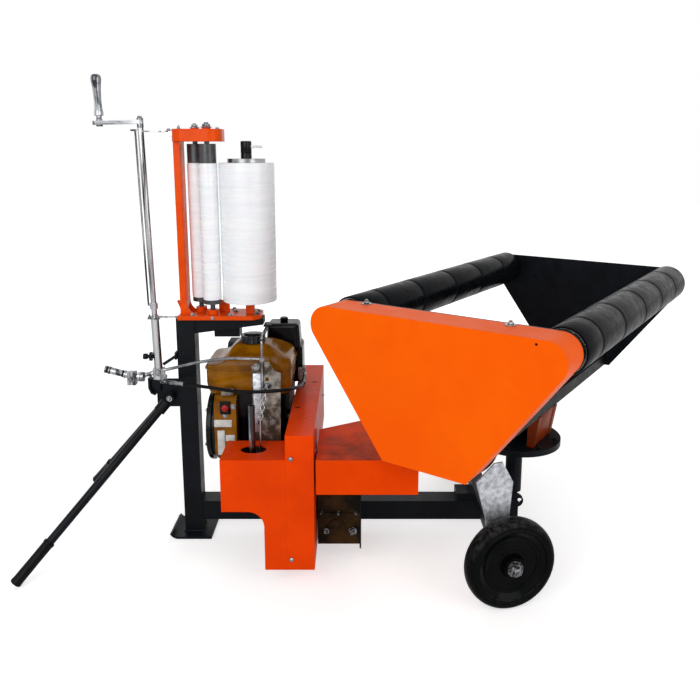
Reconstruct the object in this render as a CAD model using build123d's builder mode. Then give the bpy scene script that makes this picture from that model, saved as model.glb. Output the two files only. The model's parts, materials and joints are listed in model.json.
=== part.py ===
from build123d import *
from math import atan2, cos, degrees, hypot, radians, sin
import os

# Small round bale wrapper with an engine, moved by hand on two wheels.
# Millimetres. X runs along the rail from the tow handle to the table, Z is up,
# and the side of the belt cover, at -Y, is called left: it is the left side
# when the machine is pulled by its handle, towards -X.
# The origin is on the ground, on the underside of the foot plate, below the post.

# Gaps and play
running_play = 0.05
face_gap = 0.5
moving_gap = 8.0
sheet = 3.0

# Rail, post and arm
tube_size = 60.0
tube_wall = 4.0
post_top = 762.0
rail_width = 70.0
rail_height = 67.0
rail_bottom = 55.0
rail_end = 1115.0
arm_end = 255.0
arm_root_depth = 50.0
arm_tip_depth = 21.0
arm_block_length = 84.0
arm_block_start = 88.0
arm_block_drop = 70.0
foot_thickness = 8.0
foot_front = -44.0
foot_back = 67.0
foot_width = 138.0
foot_curl_radius = 35.0
foot_curl_angle = 60.0
eye_outer = 24.0
eye_bore = 9.0
eye_thickness = 12.0
eye_height = 109.0

# Column that carries the table
table_x = 1102.0
column_radius = 27.5
column_top = 331.5
spindle_radius = 22.0
spindle_top = 440.0
base_start = 904.0
base_end = 1112.0
base_height = 28.0

# Wheels and axle
wheel_radius = 137.5
wheel_width = 58.0
wheel_x = 1000.0
wheel_y = 431.0
wheel_toe = 15.0
tyre_inner = 104.0
shoulder_width = 18.0
shoulder_drop = 15.5
stub_radius = 12.0
hub_radius = 30.0
bracket_thickness = 6.0
bracket_gap = 8.0
axle_size = 46.0
axle_height = 40.0
axle_cut = 900.0

# Table, turned about the column
table_turn = 35.0
table_half_length = 640.0
cover_depth = 110.0
plate_thickness = 6.0
table_bottom = 458.0
table_bottom_half = 127.0
roller_spread = 320.0
roller_height = 815.0
corner_radius = 55.0
roller_radius = 62.0
roller_shaft = 15.0
beam_width = 50.0
beam_height = 42.0
beam_spread = 85.0
disc_radius = 150.0
disc_thickness = 20.0
table_hub_radius = 42.0
leg_inner = 74.0
leg_low = 95.0
leg_high = 113.0
leg_width = 22.0
leg_v = 70.0

# Engine on its bed
bed_top = 280.0
bed_thickness = 12.0
bed_start = 150.0
bed_end = 349.0
bed_back = 150.0
bed_notch = 20.0
crank_y = -20.0
crank_height = 400.0
recoil_radius = 108.0
recoil_start = 76.0
recoil_shoulder = 16.0
fan_start = 106.0
fan_end = 177.0
fan_radius = 119.0
fan_front = -140.0
fan_chamfer = 22.0
engine_end = 345.0
engine_half = 98.0
engine_foot = 12.0
shroud_height = 50.0
rib_pitch = 26.0
rib_count = 5
rib_depth = 6.0
rib_width = 4.0
shaft_boss = 40.0
fin_pitch = 11.0
fin_width = 4.0
fin_count = 7
tank_rise = 130.0
tank_clearance = 10.0
tank_start = 75.0
tank_end = 352.0
tank_half = 110.0
tank_corner = 30.0
tank_seam = 82.0
seam_lip = 5.0
seam_width = 4.0
tank_step = 86.0
tank_shoulder = 92.0
tank_rise_start = 118.0
cap_x = 220.0
cap_y = -15.0
cap_radius = 40.0
cap_height = 24.0
cap_flutes = 14
flute_radius = 5.0
filter_height = 208.0
carburettor_rise = 74.0
muffler_height = 140.0

# Covers of the drive, sheet steel
cover_front = -350.0
box_start = 160.0
box_end = 352.0
box_top = 413.0
box_bottom = 250.0
box_depth = 145.0
leg_start = 286.0
leg_bottom = 62.0
slot_length = 78.0
slot_width = 58.0
slot_x = 249.0
slot_y = -271.0
belt_width = 83.0
belt_back = 350.0
belt_top = 489.0
belt_back_bottom = 280.0
belt_step = -60.0
case_start = 441.0
case_end = 742.0
case_bottom = 305.0
case_top = 413.0
case_back_near = -112.0
case_back_far = 60.0

# Gearbox
gear_start = 440.0
gear_end = 570.0
gear_front = -262.0
gear_back = -142.0
gear_bottom = 93.0
gear_flange = 5.0
gear_lid = 26.0
gear_split = 106.0
bearing_radius = 35.0
bracket_sheet = 5.0
bracket_bottom = 80.0
bracket_top = 250.0

# Film dispenser on the arm
plate_start = -18.0
plate_end = 249.0
plate_front = -55.0
plate_back = 60.0
plate_height = 14.0
frame_left = -13.0
frame_width = 21.0
frame_depth = 60.0
frame_wall = 3.0
gusset_radius = 38.0
head_bottom = 1329.0
head_height = 38.0
head_start = -17.0
head_end = 140.0
head_corner = 40.0
socket_size = 27.0
reel_flange = 6.0
head_half = 58.0
stretch_shaft = 8.0
stretch_bottom = 812.0
stretch_top = 1322.0
reel_x = 211.0
reel_radius = 88.0
reel_bottom = 818.0
reel_top = 1264.0
reel_plate = 60.0
reel_hub = 16.5

# Control pole and crank, along an axis that leans a little towards the handle
pole_foot_x = -88.0
pole_foot_z = 587.0
pole_y = -50.0
pole_lean = 1.25
pole_radius = 9.0
sleeve_radius = 13.0
sleeve_length = 185.0
pole_length = 783.0
thin_rod_side = 17.0
thin_rod_start = 223.0
thin_rod_drop = 4.0
hook_side = 31.0
crank_rise = 12.0
crank_reach = 125.0
crank_bar = 12.0
crank_beyond = 21.0
crank_hub = 10.0
crank_pin = 14.5
grip_height = 124.0
knob_z = 640.0

# Tow handle
pivot_x = -54.0
pivot_z = 500.0
ear_start = -104.0
ear_low = 460.0
ear_high = 540.0
ear_inner = 20.0
ear_thickness = 8.0
handle_hub_radius = 15.0
handle_hub_half = 66.0
shaft_radius = 13.5
shaft_root_y = 50.0
grip_tip_x = -472.0
grip_tip_y = 349.0
grip_tip_z = 14.0
grip_radius = 18.0
grip_length = 150.0

# Places worked out from the sizes above
rail_top = rail_bottom + rail_height
thin_rod_end = pole_length - thin_rod_drop
tank_bottom = crank_height + tank_rise
tank_top = post_top - arm_block_drop - tank_clearance
tank_height = tank_top - tank_bottom
shroud_bottom = tank_bottom - shroud_height
lean = radians(pole_lean)
pole_axis = Vector(-sin(lean), 0, cos(lean))
pole_side = Vector(cos(lean), 0, sin(lean))
base_top = rail_top + base_height
half_tube = tube_size / 2
turn = radians(table_turn)
u_axis = Vector(cos(turn), -sin(turn), 0)
v_axis = Vector(sin(turn), cos(turn), 0)
plate_near = -table_half_length + cover_depth
plate_far = table_half_length
disc_bottom = column_top + face_gap
disc_top = disc_bottom + disc_thickness
beam_top = table_bottom + beam_height
plate_top = post_top + plate_height


def slab(x, y, z, mode=Mode.ADD):
    # A block between two limits along each axis, added to the part being built
    with Locations(((x[0] + x[1]) / 2, (y[0] + y[1]) / 2, (z[0] + z[1]) / 2)):
        Box(x[1] - x[0], y[1] - y[0], z[1] - z[0], mode=mode)


def rod(start, end, radius, mode=Mode.ADD):
    # A round bar between two points, added to the part being built
    run = Vector(*end) - Vector(*start)
    with Locations(Plane(origin=start, z_dir=run.normalized()).location):
        Cylinder(radius, run.length, align=(Align.CENTER, Align.CENTER, Align.MIN), mode=mode)


def across(y):
    # A drawing plane seen from the left: X to the right, Z up, facing -Y
    return Plane(origin=(0, y, 0), x_dir=(1, 0, 0), z_dir=(0, -1, 0))


def along_table(u, v, z=0.0):
    # A point from the table's own directions: u across the rollers, v along them
    return Vector(table_x, 0, z) + u_axis * u + v_axis * v


def table_side(v):
    # A drawing plane across the table's rollers: u to the right, Z up, facing -v
    return Plane(origin=along_table(0, v), x_dir=u_axis, z_dir=v_axis * -1)


def on_pole(up, right=0.0, back=0.0):
    # A point measured along the control pole, and to its right and back
    return Vector(pole_foot_x, pole_y, pole_foot_z) + pole_axis * up + pole_side * right + Vector(0, back, 0)


def pole_flat(up):
    # A drawing plane square to the control pole
    return Plane(origin=on_pole(up), x_dir=pole_side, z_dir=pole_axis)


def table_flat(z):
    # A drawing plane level with the ground, in the table's directions
    return Plane(origin=along_table(0, 0, z), x_dir=u_axis, z_dir=(0, 0, 1))


def finish(part, name):
    part.label = name
    export_step(part, f"parts/{name}.step")


os.makedirs("parts", exist_ok=True)

# Frame

with BuildPart() as main_rail:
    slab((half_tube, rail_end), (-rail_width / 2, rail_width / 2), (rail_bottom, rail_top))
    slab(
        (half_tube, rail_end - tube_wall),
        (-rail_width / 2 + tube_wall, rail_width / 2 - tube_wall),
        (rail_bottom + tube_wall, rail_top - tube_wall),
        Mode.SUBTRACT,
    )
    # Tie-down eye welded to the closed end
    with BuildSketch(across(eye_thickness / 2)):
        with Locations((rail_end, eye_height)):
            Circle(eye_outer)
        with Locations((rail_end, eye_height)):
            Rectangle(2 * eye_outer, 2 * eye_outer, align=(Align.MAX, Align.CENTER), mode=Mode.SUBTRACT)
    extrude(amount=eye_thickness)
    with BuildSketch(across(eye_thickness / 2)):
        with Locations((rail_end + eye_bore + 2, eye_height)):
            Circle(eye_bore)
    extrude(amount=eye_thickness, mode=Mode.SUBTRACT)
finish(main_rail.part, "main_rail")

with BuildPart() as post:
    slab((-half_tube, half_tube), (-half_tube, half_tube), (foot_thickness, post_top))
    slab(
        (-half_tube + tube_wall, half_tube - tube_wall),
        (-half_tube + tube_wall, half_tube - tube_wall),
        (foot_thickness, post_top - tube_wall),
        Mode.SUBTRACT,
    )
finish(post.part, "post")

with BuildPart() as top_arm:
    with BuildSketch(across(half_tube)):
        with BuildLine():
            Polyline(
                (half_tube, post_top),
                (arm_end, post_top),
                (arm_end, post_top - arm_tip_depth),
                (half_tube, post_top - arm_root_depth),
                close=True,
            )
        make_face()
    extrude(amount=tube_size)
    block_x = (arm_block_start, arm_block_start + arm_block_length)
    slab(block_x, (5, tube_size), (post_top - arm_block_drop, post_top - arm_tip_depth))
finish(top_arm.part, "top_arm")

with BuildPart() as foot_plate:
    curl_end = 270 - foot_curl_angle
    inner_curl = foot_curl_radius - foot_thickness
    with BuildSketch(across(foot_width / 2)):
        with BuildLine():
            sole = Line((foot_back, 0), (foot_front, 0))
            outer = CenterArc((foot_front, foot_curl_radius), foot_curl_radius, 270, -foot_curl_angle)
            inner = CenterArc((foot_front, foot_curl_radius), inner_curl, curl_end, foot_curl_angle)
            Line(outer @ 1, inner @ 0)
            top = Line(inner @ 1, (foot_back, foot_thickness))
            Line(top @ 1, sole @ 0)
        make_face()
    extrude(amount=foot_width)
finish(foot_plate.part, "foot_plate")

with BuildPart() as column:
    slab((base_start, base_end), (-rail_width / 2, rail_width / 2), (rail_top, base_top))
    rod((table_x, 0, base_top), (table_x, 0, column_top), column_radius)
    rod((table_x, 0, column_top), (table_x, 0, spindle_top), spindle_radius)
finish(column.part, "column")

# Wheels, each on a stub that a plate holds on the end of the axle

axle_top = base_top + axle_height
for side_name, side in (("left", -1), ("right", 1)):
    toe = radians(wheel_toe)
    out = Vector(sin(toe), side * cos(toe), 0)
    roll = Vector(cos(toe), -side * sin(toe), 0)
    centre = Vector(wheel_x, side * wheel_y, wheel_radius)
    plate_outer = centre - out * (wheel_width / 2 + bracket_gap)
    plate_inner = plate_outer - out * bracket_thickness
    spin_plane = Plane(origin=centre, x_dir=roll, z_dir=out)

    with BuildPart() as wheel_bracket:
        # Drawn from outside the wheel: across the tread, then up
        bracket_plane = Plane(origin=plate_inner, x_dir=roll, z_dir=out)
        up = 1 if bracket_plane.y_dir.Z > 0 else -1
        with BuildSketch(bracket_plane):
            with BuildLine():
                Polyline(
                    (-50, up * -30),
                    (14, up * -30),
                    (14, up * 137),
                    (21, up * 227),
                    (-14, up * 292),
                    (-40, up * 290),
                    (-94, up * 238),
                    (-60, up * 120),
                    close=True,
                )
            make_face()
        extrude(amount=bracket_thickness)
        rod(plate_inner, (centre + out * (wheel_width / 2 + 14)), stub_radius)
        washer_start = centre + out * (wheel_width / 2 + 3 + face_gap)
        rod(washer_start, (washer_start + out * 4), 22)
        nut_plane = Plane(origin=washer_start + out * 4, x_dir=roll, z_dir=out)
        with BuildSketch(nut_plane):
            RegularPolygon(18, 6)
        extrude(amount=12)
    finish(wheel_bracket.part, f"wheel_bracket_{side_name}")

    with BuildPart() as wheel_tyre:
        with BuildSketch(Plane(origin=centre, x_dir=(0, 0, 1), z_dir=roll)):
            # Half section: radius to the right, width up
            half = wheel_width / 2
            with BuildLine():
                Polyline(
                    (tyre_inner, -half),
                    (wheel_radius - shoulder_drop, -half),
                    (wheel_radius - shoulder_drop / 3, -half + shoulder_width / 3),
                    (wheel_radius, -half + shoulder_width),
                    (wheel_radius, half - shoulder_width),
                    (wheel_radius - shoulder_drop / 3, half - shoulder_width / 3),
                    (wheel_radius - shoulder_drop, half),
                    (tyre_inner, half),
                    close=True,
                )
            make_face()
        revolve(axis=Axis(centre, out))
    finish(wheel_tyre.part, f"wheel_tyre_{side_name}")

    with BuildPart() as wheel_disc:
        with BuildSketch(Plane(origin=centre, x_dir=(0, 0, 1), z_dir=roll)):
            with BuildLine():
                Polyline(
                    (stub_radius + running_play, -half),
                    (hub_radius, -half),
                    (hub_radius + 4, -half + 14),
                    (tyre_inner - 18, -half + 14),
                    (tyre_inner, -half + 4),
                    (tyre_inner, half - 4),
                    (tyre_inner - 18, half - 14),
                    (hub_radius + 4, half - 14),
                    (hub_radius, half + 3),
                    (stub_radius + running_play, half + 3),
                    close=True,
                )
            make_face()
        revolve(axis=Axis(centre, out))
    finish(wheel_disc.part, f"wheel_disc_{side_name}")

with BuildPart() as axle:
    axle_y = wheel_y - (wheel_width / 2 + bracket_gap + bracket_thickness) * cos(radians(wheel_toe)) - 4
    slab((wheel_x - axle_size, wheel_x), (-axle_y, axle_y), (base_top, axle_top))
    for side in (-1, 1):
        toe = radians(wheel_toe)
        out = Vector(sin(toe), side * cos(toe), 0)
        inner_face = Vector(wheel_x, side * wheel_y, 0) - out * (wheel_width / 2 + bracket_gap + bracket_thickness)
        cut = Plane(origin=inner_face, x_dir=(0, 0, 1), z_dir=out)
        # The ends are cut square to the wheels
        with BuildSketch(cut):
            Rectangle(axle_cut, axle_cut)
        extrude(amount=axle_cut, mode=Mode.SUBTRACT)
finish(axle.part, "axle")

# Table on the column

with BuildPart() as turntable:
    with BuildSketch(table_flat(disc_bottom)):
        Circle(disc_radius)
    extrude(amount=disc_thickness)
    with BuildSketch(table_flat(disc_top)):
        Circle(table_hub_radius)
    extrude(amount=beam_top - disc_top)
    bore_top = spindle_top + face_gap
    rod((table_x, 0, disc_bottom), (table_x, 0, bore_top), spindle_radius + running_play, Mode.SUBTRACT)
finish(turntable.part, "turntable")

with BuildPart() as table_beams:
    beam_length = plate_far - plate_thickness - (plate_near + plate_thickness)
    beam_middle = (plate_far + plate_near) / 2
    with BuildSketch(table_flat(table_bottom)):
        with Locations((beam_spread, beam_middle), (-beam_spread, beam_middle)):
            Rectangle(beam_width, beam_length)
        with Locations((0, leg_v), (0, -leg_v)):
            Rectangle(2 * beam_spread, beam_width)
        Circle(table_hub_radius, mode=Mode.SUBTRACT)
    extrude(amount=beam_height)
    # Four legs, each a plate that widens upwards
    for leg_place in (-leg_v, leg_v):
        with BuildSketch(table_side(leg_place + leg_width / 2)):
            for side in (-1, 1):
                with BuildLine():
                    Polyline(
                        (side * leg_inner, disc_top),
                        (side * leg_low, disc_top),
                        (side * leg_high, table_bottom),
                        (side * leg_inner, table_bottom),
                        close=True,
                    )
                make_face()
        extrude(amount=leg_width)
finish(table_beams.part, "table_beams")


def table_outline(grow=0.0):
    # The side plate's outline: a level bottom, slanted sides, corners round the roller shafts
    radius = corner_radius + grow
    rise = roller_height - table_bottom
    run = roller_spread - table_bottom_half
    lean = atan2(rise, run) - atan2(radius, (run ** 2 + rise ** 2 - radius ** 2) ** 0.5)
    touch_u = roller_spread + radius * sin(lean)
    touch_z = roller_height - radius * cos(lean)
    with BuildLine() as outline:
        bottom = Line((-table_bottom_half, table_bottom), (table_bottom_half, table_bottom))
        side = Line(bottom @ 1, (touch_u, touch_z))
        corner = RadiusArc(side @ 1, (roller_spread, roller_height + radius), -radius)
        lid = Line(corner @ 1, (-roller_spread, roller_height + radius))
        other = RadiusArc(lid @ 1, (-touch_u, touch_z), -radius)
        Line(other @ 1, bottom @ 0)
    return make_face(outline.edges())


outline_face = table_outline()

with BuildPart() as side_plate_near:
    with BuildSketch(table_side(plate_near + plate_thickness)):
        add(outline_face)
        with Locations((-roller_spread, roller_height), (roller_spread, roller_height)):
            Circle(roller_shaft + running_play, mode=Mode.SUBTRACT)
    extrude(amount=plate_thickness)
finish(side_plate_near.part, "side_plate_near")

with BuildPart() as side_plate_far:
    with BuildSketch(table_side(plate_far)):
        add(outline_face)
        with Locations((-roller_spread, roller_height), (roller_spread, roller_height)):
            Circle(roller_shaft + running_play, mode=Mode.SUBTRACT)
    extrude(amount=plate_thickness)
finish(side_plate_far.part, "side_plate_far")

with BuildPart() as chain_cover:
    # A pan of sheet steel over the chain, open towards the side plate
    with BuildSketch(table_side(plate_near)):
        add(outline_face)
    extrude(amount=cover_depth)
    with BuildSketch(table_side(plate_near)):
        add(outline_face)
        offset(amount=-sheet, mode=Mode.REPLACE)
    extrude(amount=cover_depth - sheet, mode=Mode.SUBTRACT)
finish(chain_cover.part, "chain_cover")

shell_near = plate_near + plate_thickness + moving_gap
shell_far = plate_far - plate_thickness - moving_gap
shaft_near = plate_near - cover_depth / 3
shaft_far = plate_far + 10
for name, place in (("front", -roller_spread), ("rear", roller_spread)):
    with BuildPart() as table_roller:
        with BuildSketch(Plane(origin=along_table(place, 0, roller_height), x_dir=v_axis, z_dir=u_axis)):
            # Half section: v along the page, radius up
            with BuildLine():
                Polyline(
                    (shaft_near, 0),
                    (shaft_near, roller_shaft),
                    (shell_near, roller_shaft),
                    (shell_near, roller_radius),
                    (shell_far, roller_radius),
                    (shell_far, roller_shaft),
                    (shaft_far, roller_shaft),
                    (shaft_far, 0),
                    close=True,
                )
            make_face()
        revolve(axis=Axis(along_table(place, 0, roller_height), v_axis))
    finish(table_roller.part, f"table_roller_{name}")

# Engine bed on the rail

with BuildPart() as engine_bed:
    bed_front = cover_front + sheet
    bed_z = (bed_top - bed_thickness, bed_top)
    slab((bed_start, bed_end), (cover_front + box_depth, bed_back), bed_z)
    slab((bed_start + bed_notch, bed_end), (bed_front, cover_front + box_depth), bed_z)
    for leg_x in (bed_start + 35, bed_end - 35):
        slab((leg_x - 20, leg_x + 20), (-120, bed_back), (bed_top - 40, bed_top - bed_thickness))
        slab((leg_x - 20, leg_x + 20), (-rail_width / 2, rail_width / 2), (rail_top, bed_top - 40))
finish(engine_bed.part, "engine_bed")

with BuildPart() as recoil_starter:
    # Domed cover with slots for the cooling air, round the crank axis
    with BuildSketch(Plane.XZ.offset(-crank_y)):
        with BuildLine():
            Polyline(
                (fan_start, crank_height),
                (fan_start, crank_height + recoil_radius),
                (recoil_start + recoil_shoulder, crank_height + recoil_radius),
                (recoil_start, crank_height + recoil_radius - recoil_shoulder),
                (recoil_start, crank_height),
                close=True,
            )
        make_face()
    revolve(axis=Axis((0, crank_y, crank_height), (1, 0, 0)))
    with BuildSketch(Plane.YZ.offset(recoil_start)):
        with Locations((crank_y, crank_height)):
            with PolarLocations(66, 12):
                Rectangle(34, 9)
    extrude(amount=8, mode=Mode.SUBTRACT)
    # Pull handle of the starting rope
    rod((recoil_start - 14, crank_y + 70, crank_height + 40), (recoil_start, crank_y + 70, crank_height + 40), 8)
    slab((recoil_start - 24, recoil_start - 12), (crank_y + 52, crank_y + 88), (crank_height + 32, crank_height + 48))
finish(recoil_starter.part, "recoil_starter")

with BuildPart() as fan_housing:
    # Scroll round the fan, squared off above for the tank's front corner
    with BuildSketch(Plane.YZ.offset(fan_start)):
        with Locations((crank_y, crank_height)):
            Circle(fan_radius)
        with BuildLine():
            Polyline(
                (fan_front, crank_height - fan_radius / 2),
                (fan_front, tank_bottom - fan_chamfer),
                (fan_front + fan_chamfer, tank_bottom),
                (crank_y + fan_radius - fan_chamfer, tank_bottom),
                (crank_y + fan_radius, tank_bottom - fan_chamfer),
                (crank_y + fan_radius, crank_height),
                (crank_y, crank_height),
                close=True,
            )
        make_face()
    extrude(amount=fan_end - fan_start)
finish(fan_housing.part, "fan_housing")

with BuildPart() as crankcase:
    case_end_x = engine_end - 10
    slab((fan_end, case_end_x), (-engine_half, engine_half), (bed_top + engine_foot, shroud_bottom))
    slab((fan_end + 8, case_end_x), (-engine_half - 17, engine_half + 17), (bed_top, bed_top + engine_foot))
    # Shroud between the crankcase and the tank
    slab((fan_end, engine_end), (-tank_half + 4, tank_half - 4), (shroud_bottom, tank_bottom))
    # Upright ribs on the sides
    for step in range(rib_count):
        rib_x = fan_end + 22 + rib_pitch * step
        rib_y = (-engine_half - rib_depth, engine_half)
        slab((rib_x, rib_x + rib_width), rib_y, (bed_top + engine_foot, shroud_bottom))
    # Side cover with the bearing boss of the output shaft
    with BuildSketch(Plane.YZ.offset(case_end_x)):
        with Locations((0, (bed_top + shroud_bottom) / 2)):
            RectangleRounded(1.8 * engine_half, shroud_bottom - bed_top - 24, 30)
    extrude(amount=engine_end - case_end_x)
    rod((engine_end, crank_y, crank_height), (box_end, crank_y, crank_height), shaft_boss)
    # Oil plugs low on the side
    for plug_x in (fan_end + 12, case_end_x - 14):
        rod((plug_x, -engine_half - 18, bed_top + 34), (plug_x, -engine_half, bed_top + 34), 11)
finish(crankcase.part, "crankcase")

with BuildPart() as cylinder_head:
    barrel_x = (fan_end + 24, engine_end - 24)
    slab(barrel_x, (engine_half, engine_half + fin_pitch * fin_count), (330, 460))
    for step in range(fin_count):
        fin_y = engine_half + 4 + fin_pitch * step
        slab((fan_end + 8, engine_end - 8), (fin_y, fin_y + fin_width), (314, 474))
    # Rocker cover
    cover_start = engine_half + fin_pitch * fin_count
    with BuildSketch(Plane.XZ.offset(-cover_start)):
        with Locations(((fan_end + engine_end) / 2, 395)):
            RectangleRounded(118, 116, 18)
    extrude(amount=-24, taper=8)
finish(cylinder_head.part, "cylinder_head")

with BuildPart() as fuel_tank:
    tank_middle = (tank_start + tank_end) / 2
    seam_z = tank_bottom + tank_seam
    step_z = tank_bottom + tank_step
    with BuildSketch(Plane.XY.offset(tank_bottom)):
        with Locations((tank_middle, 0)):
            RectangleRounded(tank_end - tank_start, 2 * tank_half, tank_corner)
    extrude(amount=tank_step)
    # Lip of the seam where the two pressed halves join
    with BuildSketch(Plane.XY.offset(seam_z)):
        with Locations((tank_middle, 0)):
            RectangleRounded(tank_end - tank_start + 2 * seam_lip, 2 * (tank_half + seam_lip), tank_corner + seam_lip)
    extrude(amount=seam_width)
    # Low shoulder at the recoil end
    with BuildSketch(Plane.XY.offset(step_z)):
        with Locations((tank_middle, 0)):
            RectangleRounded(tank_end - tank_start, 2 * tank_half, tank_corner)
    extrude(amount=tank_shoulder - tank_step, taper=40)
    # High part with sloping sides
    with BuildSketch(Plane.XY.offset(step_z)):
        with Locations(((tank_rise_start + tank_end) / 2, 0)):
            RectangleRounded(tank_end - tank_rise_start, 2 * tank_half, tank_corner)
    extrude(amount=tank_height - tank_step, taper=22)
finish(fuel_tank.part, "fuel_tank")

with BuildPart() as tank_cap:
    with BuildSketch(Plane.XY.offset(tank_top)):
        with Locations((cap_x, cap_y)):
            Circle(cap_radius)
            with PolarLocations(cap_radius + flute_radius / 2, cap_flutes):
                Circle(flute_radius, mode=Mode.SUBTRACT)
    extrude(amount=cap_height)
finish(tank_cap.part, "tank_cap")

with BuildPart() as air_cleaner:
    filter_top = tank_bottom - 30 + filter_height
    lid_z = filter_top - 84
    slab((252, 372), (tank_half + seam_lip + 1, 212), (tank_bottom - 30, lid_z))
    # Deep lid over the filter, with its rim and a rounded top
    slab((242, 368), (tank_half, 218), (lid_z, lid_z + 5))
    with BuildSketch(Plane.XY.offset(lid_z + 5)):
        with Locations((305, (tank_half + 214) / 2)):
            RectangleRounded(120, 214 - tank_half, 20)
    extrude(amount=79, taper=4)
    lid_top = faces().sort_by(Axis.Z)[-1]
    fillet(lid_top.edges(), 14)
    # Carburettor below it
    slab((272, 328), (tank_half + 10, engine_half + fin_pitch * fin_count), (crank_height + carburettor_rise, tank_bottom - 30))
finish(air_cleaner.part, "air_cleaner")

with BuildPart() as muffler:
    muffler_z = (tank_bottom - 30, tank_bottom - 30 + muffler_height)
    with BuildSketch(Plane.YZ.offset(110)):
        with Locations(((tank_half + 5 + 215) / 2, (muffler_z[0] + muffler_z[1]) / 2)):
            RectangleRounded(210 - tank_half, muffler_height, 25)
    extrude(amount=130)
    # Louvres of the guard
    for step in range(6):
        louvre_z = muffler_z[0] + 32 + 14 * step
        slab((126, 224), (211, 215), (louvre_z, louvre_z + 6), Mode.SUBTRACT)
    slab((200, 232), (150, engine_half + fin_pitch * fin_count), (crank_height + carburettor_rise, muffler_z[0] + 1))
finish(muffler.part, "muffler")

# Covers of the drive

with BuildPart() as control_box:
    # Front plate with its leg, the corner between them hollowed
    hollow = 48.0
    with BuildSketch(across(cover_front + sheet)):
        with BuildLine():
            start = Line((box_end, leg_bottom), (leg_start, leg_bottom))
            leg = Line(start @ 1, (leg_start, box_bottom - hollow))
            curve = RadiusArc(leg @ 1, (leg_start - hollow, box_bottom), -hollow)
            under = Line(curve @ 1, (box_start, box_bottom))
            side_edge = Line(under @ 1, (box_start, box_top))
            lid = Line(side_edge @ 1, (box_end, box_top))
            Line(lid @ 1, start @ 0)
        make_face()
    extrude(amount=sheet)
    box_back = cover_front + box_depth
    slab((box_start, box_start + sheet), (cover_front + sheet, box_back), (box_bottom, box_top))
    slab((box_start, box_end), (cover_front + sheet, box_back), (box_top - sheet, box_top))
    with BuildSketch(Plane.XY.offset(box_top - sheet)):
        with Locations((slot_x, slot_y)):
            Ellipse(slot_length / 2, slot_width / 2)
    extrude(amount=sheet, mode=Mode.SUBTRACT)
finish(control_box.part, "control_box")



def belt_body(inset):
    # The cover's outside, or its inside when inset by the sheet
    with BuildPart() as body:
        with BuildSketch(Plane.YZ.offset(box_end + inset)) as profile:
            with BuildLine():
                Polyline(
                    (cover_front, leg_bottom),
                    (cover_front, belt_top),
                    (belt_back, belt_top),
                    (belt_back, belt_back_bottom),
                    (belt_step + 100, belt_back_bottom),
                    (belt_step, belt_back_bottom - 100),
                    (belt_step, leg_bottom),
                    close=True,
                )
            make_face()
            if inset:
                offset(amount=-inset, mode=Mode.REPLACE)
        extrude(amount=belt_width - 2 * inset)
    return body.part


belt_outside = belt_body(0)
belt_inside = belt_body(sheet)
with BuildPart() as belt_cover:
    add(belt_outside)
    add(belt_inside, mode=Mode.SUBTRACT)
finish(belt_cover.part, "belt_cover")

with BuildPart() as chain_case:
    case_points = (
        (case_start, cover_front),
        (case_end, cover_front),
        (case_end, case_back_far),
        (case_start, case_back_near),
    )
    with BuildSketch(Plane.XY.offset(case_bottom)) as case_plan:
        with BuildLine():
            Polyline(*case_points, close=True)
        make_face()
    extrude(amount=case_top - case_bottom)
    with BuildSketch(Plane.XY.offset(case_bottom + sheet)):
        add(case_plan.sketch.faces()[0].moved(Location((0, 0, sheet))))
        offset(amount=-sheet, mode=Mode.REPLACE)
    extrude(amount=case_top - case_bottom - 2 * sheet, mode=Mode.SUBTRACT)
finish(chain_case.part, "chain_case")

with BuildPart() as gearbox:
    slab((gear_start, gear_end), (gear_front + gear_flange, gear_back), (gear_bottom, case_bottom))
    # Flanges of the lid and of the split between the two halves
    for flange_z in (case_bottom - gear_lid, case_bottom - gear_split):
        flange_y = (gear_front, gear_back + gear_flange)
        slab((gear_start, gear_end), flange_y, (flange_z - 2 * gear_flange, flange_z))
    rod((gear_start - 4, -200, 190), (gear_start, -200, 190), bearing_radius)
    rod((500, gear_front, 150), (500, gear_front + gear_flange, 150), bearing_radius - 8)
finish(gearbox.part, "gearbox")

with BuildPart() as gearbox_bracket:
    bracket_x = (gear_end, gear_end + bracket_sheet)
    slab(bracket_x, (gear_front, -rail_width / 2), (bracket_bottom, bracket_top))
finish(gearbox_bracket.part, "gearbox_bracket")

# Belt tension linkage beside the engine

lever_y = -tank_half - 82
pull_radius = 3.5
lever_top = bed_top + 384
with BuildPart() as lever_plate:
    with BuildSketch(across(lever_y)):
        with BuildLine():
            Polyline(
                (238, bed_top),
                (322, bed_top),
                (327, lever_top - 36),
                (307, lever_top - 26),
                (292, lever_top),
                (261, lever_top),
                (238, lever_top - 14),
                close=True,
            )
        make_face()
        with Locations((285, lever_top - 68)):
            SlotOverall(40, 11, rotation=90, mode=Mode.SUBTRACT)
    extrude(amount=4)
finish(lever_plate.part, "lever_plate")

with BuildPart() as guide_tube:
    rod((246, slot_y, bed_top), (246, slot_y, 553), 10)
    rod((246, slot_y, 540), (246, slot_y, 553), 7, Mode.SUBTRACT)
    # Thin rod beside it, on a tab
    rod((270, slot_y + 9, bed_top), (270, slot_y + 9, 498), pull_radius)
    rod((270, slot_y + 9, 492), (270, slot_y + 9, 503), pull_radius + 3)
    slab((246, 272), (slot_y - 4, slot_y + 11), (bed_top + 6, bed_top + 12))
finish(guide_tube.part, "guide_tube")

with BuildPart() as pull_rod:
    rod((272, lever_y - 11, lever_top - 74), (272, lever_y - 11, post_top - 24), pull_radius)
    slab((arm_end, arm_end + 24), (lever_y - 18, 20), (post_top - 28, post_top - 8))
finish(pull_rod.part, "pull_rod")

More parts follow.
